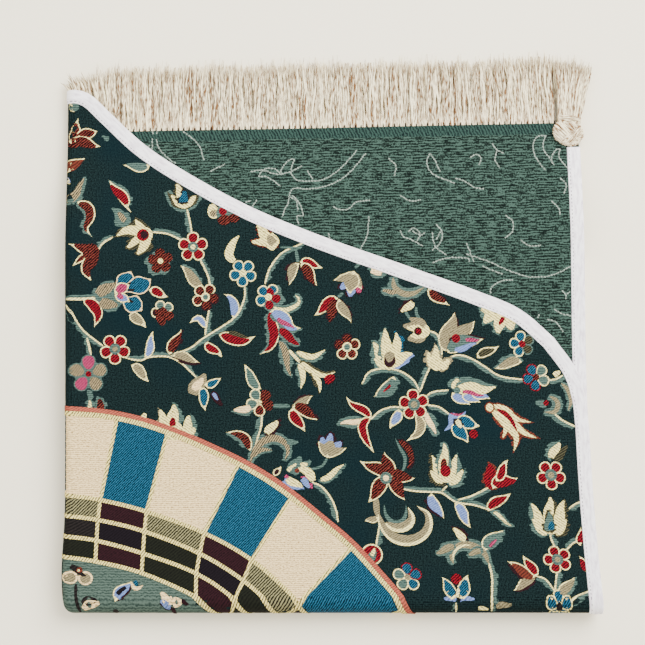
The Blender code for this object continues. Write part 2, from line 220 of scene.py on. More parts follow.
@dataclass(frozen=True)
class FoldedLay:
    """How the flat cloth is folded and how the stack lies, in the solids' own sizes."""

    thickness: float = 0.0014
    pitch: float = 0.0033
    tuck_depth: float = 0.2230
    tape_reach: float = 0.00075
    slope: tuple[float, float] = (0.0040, 0.0950)
    edge_ramp: tuple[float, float] = (0.290, 0.318)
    arch_end: float = 0.5550
    arch_lean: float = 0.52
    sag_ramp: tuple[float, float] = (0.002, 0.050)
    side_lean: float = 0.012
    side_flare: float = 0.030
    flare_reach: float = 0.170
    end_skew: float = 0.0206
    corner_bulge: float = 0.0025
    corner_bulge_at: float = 0.026
    corner_bulge_fade: float = 0.040
    wave: float = 0.030  # of the stack's height
    wave_turns: tuple[float, float, float, float] = (21.0, 9.0, 26.0, 7.0)  # radians a metre
    lean_reach: float = 0.300
    shift: Spot = (0.0, 0.0)

    @property
    def middle_radius(self) -> float:
        """The crosswise fold at the rug's middle."""
        return 0.5 * self.pitch

    @property
    def tuck_radius(self) -> float:
        """The last fold, of the four layers together."""
        return 2.0 * self.pitch

    @property
    def middle_half(self) -> float:
        """Half the cloth that the middle fold takes up."""
        return 0.5 * math.pi * self.middle_radius

    @property
    def centre_band(self) -> float:
        """Half the cloth that the lengthwise fold takes up."""
        return 0.5 * math.pi * self.pitch

    @property
    def turn_half(self) -> float:
        """Half the cloth that the last fold takes up."""
        return 0.5 * math.pi * self.tuck_radius

    @property
    def stack_half(self) -> float:
        """From the middle of the four layers to the outside of the outermost one."""
        return 3.5 * self.pitch + 0.5 * self.thickness

    @property
    def tuck_line(self) -> float:
        """Where the last fold crosses the stacked cloth."""
        return self.tuck_depth - self.stack_half + self.turn_half - self.middle_radius - 0.5 * self.thickness

    @property
    def peak_up(self) -> float:
        """From the tucked edge to the arch's peak."""
        return self.arch_end - self.middle_half - self.tuck_line - self.turn_half + self.stack_half

    def fold(self, along: Points, outward: Points, radius: float) -> tuple[Points, Points]:
        """Turns a strip under itself, the half turn centred at along = 0."""
        half_turn = 0.5 * math.pi * radius
        angle = (half_turn - np.clip(along, -half_turn, half_turn)) / radius
        level = -(radius + outward) * np.sin(angle)
        level = np.where(along >= half_turn, along - half_turn, level)
        level = np.where(along <= -half_turn, -along - half_turn, level)
        return level, (radius + outward) * np.cos(angle)

    def settle(self, across: Points, up: Points, height: Points) -> Points:
        """Moves points of the square, level stack to where the folded rug lies."""
        down = ease(up, self.tuck_depth + self.slope[0], self.tuck_depth + self.slope[1])
        edge = ease(across, *self.edge_ramp)
        past = up + self.arch_lean * across - self.peak_up
        height = height - down * (4.0 * self.pitch - self.tape_reach)
        height = height - down * ease(past, *self.sag_ramp) * self.pitch
        height = height + (1.0 - down) * edge * self.tape_reach
        first, second, third, fourth = self.wave_turns
        wave = np.sin(first * across + second * up) * np.cos(third * up - fourth * across)
        height = height * (1.0 + self.wave * wave)
        level = up + self.end_skew * across * ease(up, 0.0, self.lean_reach)
        flare = np.maximum(0.0, 1.0 - up / self.flare_reach)
        wide = across * (1.0 + self.side_lean * (0.5 - up / self.lean_reach) + self.side_flare * flare * flare)
        bulge = np.exp(-(((up - self.corner_bulge_at) / self.corner_bulge_at) ** 2))
        bulge = bulge * np.exp(-np.abs(across) / self.corner_bulge_fade)
        return np.stack([wide - self.corner_bulge * bulge, level, height], axis=-1)

    def place(self, across: Points, along: Points, outward: Points) -> Points:
        """Folds flat points.

        Args:
            across: metres from the centreline.
            along: metres from the rug's middle.
            outward: metres off the mid-surface, towards the face.

        Returns:
            Their places in the row's frame, one row of three a point.
        """
        across, along, outward = np.broadcast_arrays(across, along, outward)
        stacked, height = self.fold(along, outward, self.middle_radius)
        over, height = self.fold(across, height, self.pitch)
        up, height = self.fold(stacked - self.tuck_line, height, self.tuck_radius)
        placed = self.settle(over, up + self.stack_half, height + self.stack_half)
        return placed + np.array([self.shift[0], self.shift[1], 0.0])


@dataclass(frozen=True)
class PhotoView:
    """The photograph's camera: straight above the rug, with a gentle perspective."""

    side_px: float = 645.0
    metres_a_px: float = 0.00065
    height: float = 1.15
    crest_to_middle: float = 0.1645
    edge_to_middle: float = 0.1865
    sensor_mm: float = 36.0
    rug_middle_px: Spot = (65.0, 951.0)  # where the flat rug's middle would show
    farthest: Spot = (0.36, 0.6)  # metres across and along, past the cloth's edges
    search_steps: int = 60
    search_share: float = 0.6
    longest_move: float = 0.03

    def middle(self, lay: FoldedLay) -> tuple[float, float]:
        """Where the picture's centre falls on the floor, from the left fold and the tucked edge."""
        crest = -(lay.pitch + lay.middle_radius + 0.5 * lay.thickness)
        return lay.shift[0] + crest + self.crest_to_middle, lay.shift[1] + self.edge_to_middle

    def seen(self, lay: FoldedLay, placed: Points) -> Points:
        """The pixels at which placed points show."""
        x, y = self.middle(lay)
        share = self.height / (self.height - placed[:, 2]) / self.metres_a_px
        half = 0.5 * self.side_px
        return np.stack([half + (placed[:, 0] - x) * share, half - (placed[:, 1] - y) * share], axis=-1)

    def flat_mm(self, lay: FoldedLay, pixels: tuple[Spot, ...], reverse: bool = False) -> Points:
        """Finds the flat cloth's points that show at the given pixels.

        Args:
            lay: the folds.
            pixels: places in the photograph.
            reverse: whether they lie on the fringe half, which shows its reverse.

        Returns:
            Their across and along, in millimetres.
        """
        wanted = np.array(pixels, dtype=float).reshape(-1, 2)
        sign = -1.0 if reverse else 1.0
        flat = (wanted - self.rug_middle_px) * (1.0, -1.0) * self.metres_a_px
        for _ in range(self.search_steps):
            placed = lay.place(flat[:, 0], sign * flat[:, 1], sign * 0.5 * lay.thickness)
            missed = (wanted - self.seen(lay, placed)) * self.metres_a_px
            move = self.search_share * missed * (1.0, -1.0)
            flat = flat + np.clip(move, -self.longest_move, self.longest_move)
            flat = np.clip(flat, (0.0, lay.tuck_line + lay.middle_half), self.farthest)
        return flat * (1.0, sign) / MM

    def make_camera(self, lay: FoldedLay) -> None:
        """Sets the scene's camera."""
        data = bpy.data.cameras.new("camera")
        data.sensor_width = self.sensor_mm
        data.lens = self.sensor_mm * self.height / (self.side_px * self.metres_a_px)
        camera = bpy.data.objects.new("camera", data)
        camera.location = (*self.middle(lay), self.height)
        bpy.context.scene.collection.objects.link(camera)
        bpy.context.scene.camera = camera


def curve_through(points: Points, steps: int = 10, closed: bool = False) -> Points:
    """Draws a smooth curve through points, open or closed.

    Args:
        points: the places it passes through, one a row.
        steps: how many steps each stretch gets.
        closed: whether it returns to its start.

    Returns:
        The curve's points.
    """
    points = np.asarray(points, dtype=float)
    if closed:
        ends = np.concatenate([points[-1:], points, points[:2]])
    else:
        ends = np.concatenate([2 * points[:1] - points[1:2], points, 2 * points[-1:] - points[-2:-1]])
    before, start, end, after = ends[:-3], ends[1:-2], ends[2:-1], ends[3:]
    share = np.linspace(0.0, 1.0, steps, endpoint=False)[None, :, None]
    before, start, end, after = before[:, None], start[:, None], end[:, None], after[:, None]
    cubic = (3 * start - before - 3 * end + after) * share + 2 * before - 5 * start + 4 * end - after
    dense = (start + 0.5 * share * (end - before + share * cubic)).reshape(-1, points.shape[1])
    return dense if closed else np.concatenate([dense, points[-1:]])


def even_steps(curve: Points, step: float, closed: bool = False) -> Points:
    """Sets points at even steps along a finely drawn curve, its ends included."""
    if closed:
        curve = np.concatenate([curve, curve[:1]])
    reach = np.concatenate([[0.0], np.cumsum(np.linalg.norm(np.diff(curve, axis=0), axis=1))])
    count = max(3 if closed else 2, int(math.ceil(reach[-1] / step)))
    marks = np.linspace(0.0, reach[-1], count + 1)
    columns = [np.interp(marks, reach, curve[:, axis]) for axis in range(curve.shape[1])]
    spaced = np.stack(columns, axis=1)
    return spaced[:-1] if closed else spaced


def inward(edge: Points) -> Points:
    """Gives mitred steps to the left of an edge, at each of its points."""
    runs = np.diff(edge, axis=0)
    runs = runs / np.maximum(np.linalg.norm(runs, axis=1)[:, None], 1e-12)
    behind = np.concatenate([runs[:1], runs])
    ahead = np.concatenate([runs, runs[-1:]])
    along = behind + ahead
    along = along / np.maximum(np.linalg.norm(along, axis=1)[:, None], 1e-9)
    mitre = 1.0 / np.maximum((along * ahead).sum(axis=1), 0.6)
    return np.stack([-along[:, 1] * mitre, along[:, 0] * mitre], axis=1)


def make_piece(
    name: str,
    points: Points,
    faces: list,
    material: bpy.types.Material,
    uv: Points | None = None,
    sharp_deg: float = 38.0,
) -> bpy.types.Object:
    """Makes one mesh piece that rides on the rug.

    Args:
        name: the piece's name.
        points: its places, one a row.
        faces: the point numbers of each face.
        material: its finish.
        uv: a flat place for each point, in metres.
        sharp_deg: edges that turn more than this stay crisp.

    Returns:
        The new object.
    """
    mesh = bpy.data.meshes.new(name)
    mesh.from_pydata(np.asarray(points).tolist(), [], [list(map(int, face)) for face in faces])
    if uv is not None:
        loops = np.empty(len(mesh.loops), dtype=np.int32)
        mesh.loops.foreach_get("vertex_index", loops)
        layer = mesh.uv_layers.new(name="weave")
        layer.data.foreach_set("uv", np.asarray(uv, dtype=np.float32)[loops].ravel())
    mesh.materials.append(material)
    mesh.shade_smooth()
    mesh.set_sharp_from_angle(angle=math.radians(sharp_deg))
    piece = bpy.data.objects.new(name, mesh)
    bpy.context.scene.collection.objects.link(piece)
    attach(piece, "root")
    return piece


@dataclass(frozen=True)
class WovenFinish:
    """A yarn floated over the jacquard in short steps: matt, with a fine slanted grain."""

    name: str
    light: str
    dark: str
    pitch_mm: float = 1.5  # two weft picks, drawn about twice as coarse as woven, so that they show
    slant_deg: float = 45.0
    contrast: float = 0.8
    roughness: float = 0.85
    relief_mm: float = 0.12
    uneven: float = 1.6

    def material(self) -> bpy.types.Material:
        """Builds slanted picks, broken up by the fibres' unevenness."""
        nodes = FinishNodes(self.name)
        turned = nodes.flat(turn_deg=self.slant_deg)
        picks = nodes.bands(turned, "X", self.pitch_mm, self.uneven, 1.0, 2.5)
        fibres = nodes.math("MULTIPLY_ADD", nodes.noise(turned, 0.9, 3.0), 1.5, -0.75)
        shade = nodes.math("MULTIPLY_ADD", picks, self.contrast, fibres, clamp=True)
        nodes.raise_by(nodes.math("SUBTRACT", 1.0, shade), 0.6, self.relief_mm)
        colour = nodes.mix(shade, linear(self.light), linear(self.dark))
        return nodes.finish(colour, self.roughness, 0.06)


YARN_FINISHES = {
    # polyester and chenille yarns, their colours fitted to the photograph's; the dark one is the
    # shadow between picks
    Yarn.LINE: WovenFinish("cream_twisted_yarn", "#fbeba0", "#70683f", 1.3, 60.0, 0.75),
    Yarn.CREAM: WovenFinish("cream_satin_yarn", "#fae996", "#4c4826", 1.5, 125.0, 0.75, uneven=2.6),
    Yarn.LINEN: WovenFinish("cream_linen_yarn", "#f4d69c", "#8a7048", 1.3, 90.0, 0.7, uneven=4.0),
    Yarn.SAGE: WovenFinish("sage_float_yarn", "#4c6159", "#1d2d2a", 1.4, 90.0, 0.8),
    Yarn.TICK: WovenFinish("cream_tick_yarn", "#a08c66", "#1b221e", 1.25, 35.0, 1.2),
    Yarn.RED: WovenFinish("red_twill_yarn", "#7e0c1c", "#160306", 1.4, 50.0, 1.1, uneven=2.4),
    Yarn.MAROON: WovenFinish("maroon_twill_yarn", "#6c2c24", "#0b0405", 1.4, 50.0, 1.9, uneven=4.0),
    Yarn.WINE: WovenFinish("wine_twill_yarn", "#271217", "#0c0608", 1.3, 50.0, 0.7),
    Yarn.BLUE: WovenFinish("blue_twill_yarn", "#215872", "#04131c", 1.15, 45.0, 1.25, uneven=2.6),
    Yarn.LILAC: WovenFinish("lilac_satin_yarn", "#6a7fae", "#3c4a74", 1.3, 60.0, 0.75, uneven=2.6),
    Yarn.PINK: WovenFinish("pink_twill_yarn", "#a83a5e", "#48122a", 1.4, 45.0, 1.0),
    Yarn.OLIVE: WovenFinish("olive_twill_yarn", "#45432f", "#131310", 1.3, 60.0, 1.2),
    Yarn.TAUPE: WovenFinish("taupe_satin_yarn", "#877c5c", "#3c3828", 1.3, 60.0, 0.75, uneven=2.6),
    Yarn.ROSE: WovenFinish("rose_twisted_yarn", "#a95542", "#5c3129", 1.4, 60.0, 0.8),
    Yarn.NIGHT: WovenFinish("night_twill_yarn", "#201c1b", "#0e0d0d", 1.8, 60.0, 1.0),
    Yarn.FIELD: WovenFinish("field_chenille_yarn", "#4b5b52", "#26342f", 1.7, 90.0, 0.9, uneven=4.0),
    Yarn.TRACE: WovenFinish("reverse_float_yarn", "#8a978b", "#49534c", 1.4, 40.0, 0.8),
    Yarn.CORD: WovenFinish("cream_cord_yarn", "#f6e28a", "#3e3c26", 1.5, 35.0, 0.95),
    Yarn.HATCH: WovenFinish("olive_hatch_yarn", "#86815c", "#0f0f0b", 1.5, 45.0, 1.3),
    Yarn.PLUM: WovenFinish("plum_twill_yarn", "#151015", "#0c090c", 1.5, 50.0, 0.8),
    Yarn.MOSS: WovenFinish("moss_twill_yarn", "#181a13", "#0d0e0b", 1.6, 50.0, 0.9),
    Yarn.RUST: WovenFinish("rust_twill_yarn", "#622c20", "#2e1411", 1.7, 50.0, 0.9),
    Yarn.BAND: WovenFinish("overlock_yarn", "#2c423b", "#0a1516", 1.9, 24.0, 0.9, uneven=4.0),
}


@dataclass(frozen=True)
class GroundWeave:
    """The ground: plain woven polyester, dark teal and dull, each thread a little uneven."""

    name: str = "teal_plain_weave"
    light: str = "#1a2a2a"
    dark: str = "#03080a"
    cool: str = "#081a20"
    thread_mm: float = 0.9  # real threads are near 0.5 mm, drawn coarser so that the grain shows

    def material(self) -> bpy.types.Material:
        """Builds crossed threads with a fine grain, and cooler clouds over them."""
        nodes = FinishNodes(self.name)
        flat = nodes.flat()
        weft, warp = (nodes.bands(flat, way, self.thread_mm, 2.2, 1.0) for way in "XY")
        crossed = nodes.math("MULTIPLY", weft, warp)
        woven = nodes.math("MULTIPLY_ADD", crossed, 0.35, nodes.noise(flat, 1.2, 3.0))
        shade = nodes.spread(woven, 0.38, 0.86)
        clouds = nodes.spread(nodes.noise(flat, 0.014, 2.0), 0.52, 0.75, 0.55)
        nodes.raise_by(shade, 0.5, 0.12)
        body = nodes.mix(shade, linear(self.dark), linear(self.light))
        return nodes.finish(nodes.mix(clouds, body, linear(self.cool)), 0.9, 0.03)


@dataclass(frozen=True)
class ChenilleReverse:
    """The reverse: green chenille weft, in soft level ribs broken by darker floats."""

    name: str = "green_chenille_reverse"
    light: str = "#384c44"
    middle: str = "#19231f"
    dark: str = "#08110f"
    rib_mm: float = 1.8

    def material(self) -> bpy.types.Material:
        """Builds level ribs, crossed by floats drawn out along them."""
        nodes = FinishNodes(self.name)
        flat = nodes.flat()
        ribs = nodes.bands(flat, "Y", self.rib_mm, 3.2, 2.0, 0.5)
        floats = nodes.noise(nodes.flat((190.0, 1650.0, 1.0)), 0.8, 4.0)
        ribbed = nodes.math("MULTIPLY_ADD", ribs, 0.17, floats)
        shade = nodes.math("MULTIPLY_ADD", nodes.noise(flat, 0.9, 3.0), 0.7, ribbed)
        nodes.raise_by(shade, 0.7, 0.25)
        ramp = nodes.add("ValToRGB", {}, {0: shade})
        stops = ramp.color_ramp.elements
        stops[0].position, stops[0].color = 0.72, linear(self.dark)
        stops[1].position, stops[1].color = 1.0, linear(self.light)
        stops.new(0.93).color = linear(self.middle)
        return nodes.finish(ramp.outputs["Color"], 0.92, 0.05)


@dataclass(frozen=True)
class ClothFinish:
    """A plain thread or tape: matt, near white or cream, with soft creases of shade."""

    name: str
    light: str
    dark: str
    grain_mm: float
    stretch: float = 1.0
    roughness: float = 0.85
    relief_mm: float = 0.1
    spread: tuple[float, float] = (0.35, 0.68)
    tone: float = 0.0  # how much whole threads differ

    def material(self) -> bpy.types.Material:
        """Builds a soft noise drawn out along the thread, and its bump."""
        nodes = FinishNodes(self.name)
        grain = 1e3 / self.grain_mm
        flat = nodes.flat((grain, grain / self.stretch, 1.0))
        noise = nodes.noise(flat, 1.0, 4.0)
        apart = nodes.math("SUBTRACT", nodes.noise(flat, 0.11, 1.0), 0.5)
        shade = nodes.spread(nodes.math("MULTIPLY_ADD", apart, self.tone, noise), *self.spread)
        nodes.raise_by(noise, 0.6, self.relief_mm)
        nodes.shader.inputs["Sheen Weight"].default_value = 0.1
        return nodes.finish(nodes.mix(shade, linear(self.dark), linear(self.light)), self.roughness, 0.3)


@dataclass(frozen=True)
class CutOutline:
    """The flat cloth's outline: straight sides, an arched end, and a straight fringe end."""

    half_width: float = 0.3315
    fringe_end: float = 0.5285
    knot_inset: float = 0.0050
    notch_radius: float = 0.0104
    notch_steps: int = 8
    tape_width: float = 0.0080
    tape_start: float = 0.0160
    arch_corner: int = 10
    arch: tuple[Spot, ...] = (
        # across from the centreline, below the peak
        (0.0000, 0.0000),
        (0.0140, 0.0040),
        (0.0270, 0.0160),
        (0.0500, 0.0375),
        (0.0800, 0.0575),
        (0.1200, 0.0795),
        (0.1650, 0.0985),
        (0.2150, 0.1165),
        (0.2620, 0.1335),
        (0.2900, 0.1455),
        (0.3110, 0.1630),
        (0.3245, 0.1820),
        (0.3300, 0.2000),
        (0.3315, 0.2180),
    )

    def arch_points(self, lay: FoldedLay) -> Points:
        """The arch's charted points, as across and along."""
        return np.array([(across, lay.arch_end - below) for across, below in self.arch])

    def hem_line(self, lay: FoldedLay, inset: float) -> Points:
        """The right half's edge from low on the side to the peak, moved into the cloth by inset."""
        arch = curve_through(self.arch_points(lay))[::-1]
        edge = np.concatenate([[(self.half_width, 0.0)], arch])
        edge = even_steps(edge, 0.003)
        moved = edge + inset * inward(edge)
        return moved[moved[:, 0] > -0.001]


@dataclass
class ClothGrid:
    """The fine grid of the flat cloth, which follows its outline and its folds."""

    lay: FoldedLay
    cut: CutOutline
    step_across: float = 0.0044
    step_arch: float = 0.0045
    step_under: float = 0.0075
    band_steps: int = 24
    tuck_steps: int = 24
    middle_steps: int = 8
    columns: Points = field(init=False)
    arch_rows: Points = field(init=False)
    middle_rows: Points = field(init=False)
    fringe_rows: Points = field(init=False)

    def __post_init__(self) -> None:
        """Works out the grid's places across and along."""
        lay, cut = self.lay, self.cut
        self.turn_end = lay.tuck_line + lay.turn_half + lay.middle_half
        self.arch_base = self.turn_end + 0.040
        self.fringe_base = self.turn_end + 0.205
        self.columns = self.spaced(lay.centre_band, cut.half_width, self.step_across)
        self.arch_rows = self.spaced(self.arch_base, lay.arch_end, self.step_arch)
        self.fringe_rows = self.spaced(self.fringe_base, cut.fringe_end, self.step_arch)
        turn_start = lay.tuck_line - lay.turn_half + lay.middle_half
        under = self.spaced(lay.middle_half, turn_start, self.step_under)
        turn = np.linspace(turn_start, self.turn_end, self.tuck_steps + 1)
        rise = self.spaced(self.turn_end, self.arch_base, self.step_arch)
        fall = self.spaced(self.turn_end, self.fringe_base, self.step_under)
        arch_side = np.concatenate([under, turn[1:], rise[1:]])
        fringe_side = np.concatenate([under, turn[1:], fall[1:]])
        bend = np.linspace(-lay.middle_half, lay.middle_half, self.middle_steps + 1)[1:-1]
        self.middle_rows = np.concatenate([-fringe_side[::-1], bend, arch_side])

    def spaced(self, start: float, end: float, step: float) -> Points:
        """Even steps of about the given size."""
        return np.linspace(start, end, int(round((end - start) / step)) + 1)

    def quarter(self, side: Points, end: Points, rows: Points) -> Points:
        """Fills a quarter of the cloth between its base line, its side and its end."""
        columns = self.columns
        f = (columns - columns[0]) / (columns[-1] - columns[0])
        t = (rows - rows[0]) / (rows[-1] - rows[0])
        base = np.stack([columns, np.full(len(columns), rows[0])], axis=1)
        centre = np.stack([np.full(len(rows), columns[0]), rows], axis=1)
        f, t = f[None, :, None], t[:, None, None]
        corners = (1 - f) * (1 - t) * base[0] + f * (1 - t) * base[-1] + (1 - f) * t * end[0] + f * t * end[-1]
        return (1 - t) * base[None] + t * end[None] + (1 - f) * centre[:, None] + f * side[:, None] - corners

    def arch_quarter(self) -> Points:
        """The quarter under the arch, rows by columns."""
        points = self.cut.arch_points(self.lay)
        corner = points[self.cut.arch_corner]
        arch = curve_through(points[: self.cut.arch_corner + 1], 40)
        band = self.columns[0]
        across = band + (self.columns - band) * (corner[0] - band) / (self.columns[-1] - band)
        end = np.stack([across, np.interp(across, arch[:, 0], arch[:, 1])], axis=1)
        shoulder = curve_through(points[self.cut.arch_corner :], 40)[::-1]
        straight = np.array([[self.cut.half_width, self.arch_base]])
        path = np.concatenate([straight, shoulder])
        reach = np.concatenate([[0.0], np.cumsum(np.linalg.norm(np.diff(path, axis=0), axis=1))])
        share = (self.arch_rows - self.arch_rows[0]) / (self.arch_rows[-1] - self.arch_rows[0])
        side = np.stack([np.interp(share * reach[-1], reach, path[:, axis]) for axis in (0, 1)], axis=1)
        return self.quarter(side, end, self.arch_rows)

    def fringe_quarter(self) -> Points:
        """The quarter at the fringe, notched at its corner for the knot."""
        cut = self.cut
        knot = np.array((cut.half_width - cut.knot_inset, cut.fringe_end - cut.knot_inset))
        past_square = math.asin(cut.knot_inset / cut.notch_radius)
        angles = np.linspace(-math.pi - past_square, -0.5 * math.pi + past_square, cut.notch_steps + 1)
        notch = knot + cut.notch_radius * np.stack([np.cos(angles), np.sin(angles)], axis=1)
        band = self.columns[0]
        places = self.columns[: -cut.notch_steps - 1]
        places = band + (places - band) * (notch[0][0] - band) / (self.columns[-cut.notch_steps - 1] - band)
        end = np.concatenate([np.stack([places, np.full(len(places), cut.fringe_end)], axis=1), notch])
        rows = self.fringe_rows
        share = (rows - rows[0]) / (rows[-1] - rows[0])
        along = rows[0] + share * (notch[-1][1] - rows[0])
        side = np.stack([np.full(len(rows), cut.half_width), along], axis=1)
        return self.quarter(side, end, rows)

    def points(self) -> Points:
        """All flat points, rows by columns: from the fringe end, and from the left side."""
        fringe_part = self.fringe_quarter()[::-1] * (1, -1)
        middle = np.stack(np.meshgrid(self.columns, self.middle_rows), axis=-1)
        right = np.concatenate([fringe_part, middle[1:-1], self.arch_quarter()])
        band = np.linspace(-self.lay.centre_band, self.lay.centre_band, self.band_steps + 1)[1:-1]
        alongs = np.broadcast_to(right[:, :1, 1], (len(right), len(band))).copy()
        peak_rise = self.lay.arch_end - right[-1, 0, 1]
        rise = peak_rise * (1.0 - (band / self.lay.centre_band) ** 2)
        share = np.clip((alongs - self.arch_base) / (right[-1, 0, 1] - self.arch_base), 0.0, 1.0)
        alongs = alongs + rise[None] * share
        centre = np.stack([np.broadcast_to(band, alongs.shape), alongs], axis=-1)
        return np.concatenate([right[:, ::-1] * (-1, 1), centre, right], axis=1)

    def bound_edge(self, points: Points) -> Points:
        """The bound edge, from the right knot up the side, round the arch and down the left."""
        right = points[:, -1]
        start = self.cut.tape_start - self.cut.fringe_end
        right = np.concatenate([[(self.cut.half_width, start)], right[right[:, 1] > start + 0.001]])
        left = right[::-1] * (-1, 1)
        return np.concatenate([right, points[-1, ::-1][1:-1], left])


@dataclass
class GroundCloth:
    """The one cloth: its face in plain weave, its reverse in chenille ribs."""

    lay: FoldedLay
    grid: ClothGrid
    flat_area: float = 0.6625

    def build(self) -> bpy.types.Object:
        """Builds the folded sheet, closed all round, on the solid's own folds."""
        flat = self.grid.points()
        rows, columns = flat.shape[:2]
        across, along = flat[..., 0].ravel(), flat[..., 1].ravel()
        half = 0.5 * self.lay.thickness
        face = self.lay.place(across, along, half)
        back = self.lay.place(across, along, -half)
        number = np.arange(rows * columns).reshape(rows, columns)
        corners = [number[:-1, :-1], number[:-1, 1:], number[1:, 1:], number[1:, :-1]]
        upper = np.stack([corner.ravel() for corner in corners], axis=1)
        lower = upper[:, ::-1] + rows * columns
        rim = np.concatenate([number[0, :-1], number[:-1, -1], number[-1, :0:-1], number[:0:-1, 0]])
        after = np.roll(rim, -1)
        edge = np.stack([after, rim, rim + rows * columns, after + rows * columns], axis=1)
        faces = np.concatenate([upper, lower, edge])
        uv = np.tile(np.stack([across, along], axis=1), (2, 1))
        points = np.concatenate([face, back])
        piece = make_piece("jacquard_cloth", points, faces, GroundWeave().material(), uv)
        piece.data.materials.append(ChenilleReverse().material())
        indices = np.zeros(len(faces), dtype=np.int32)
        indices[len(upper) : len(upper) + len(lower)] = 1
        piece.data.polygons.foreach_set("material_index", indices)
        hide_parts("rug_cloth")
        return piece


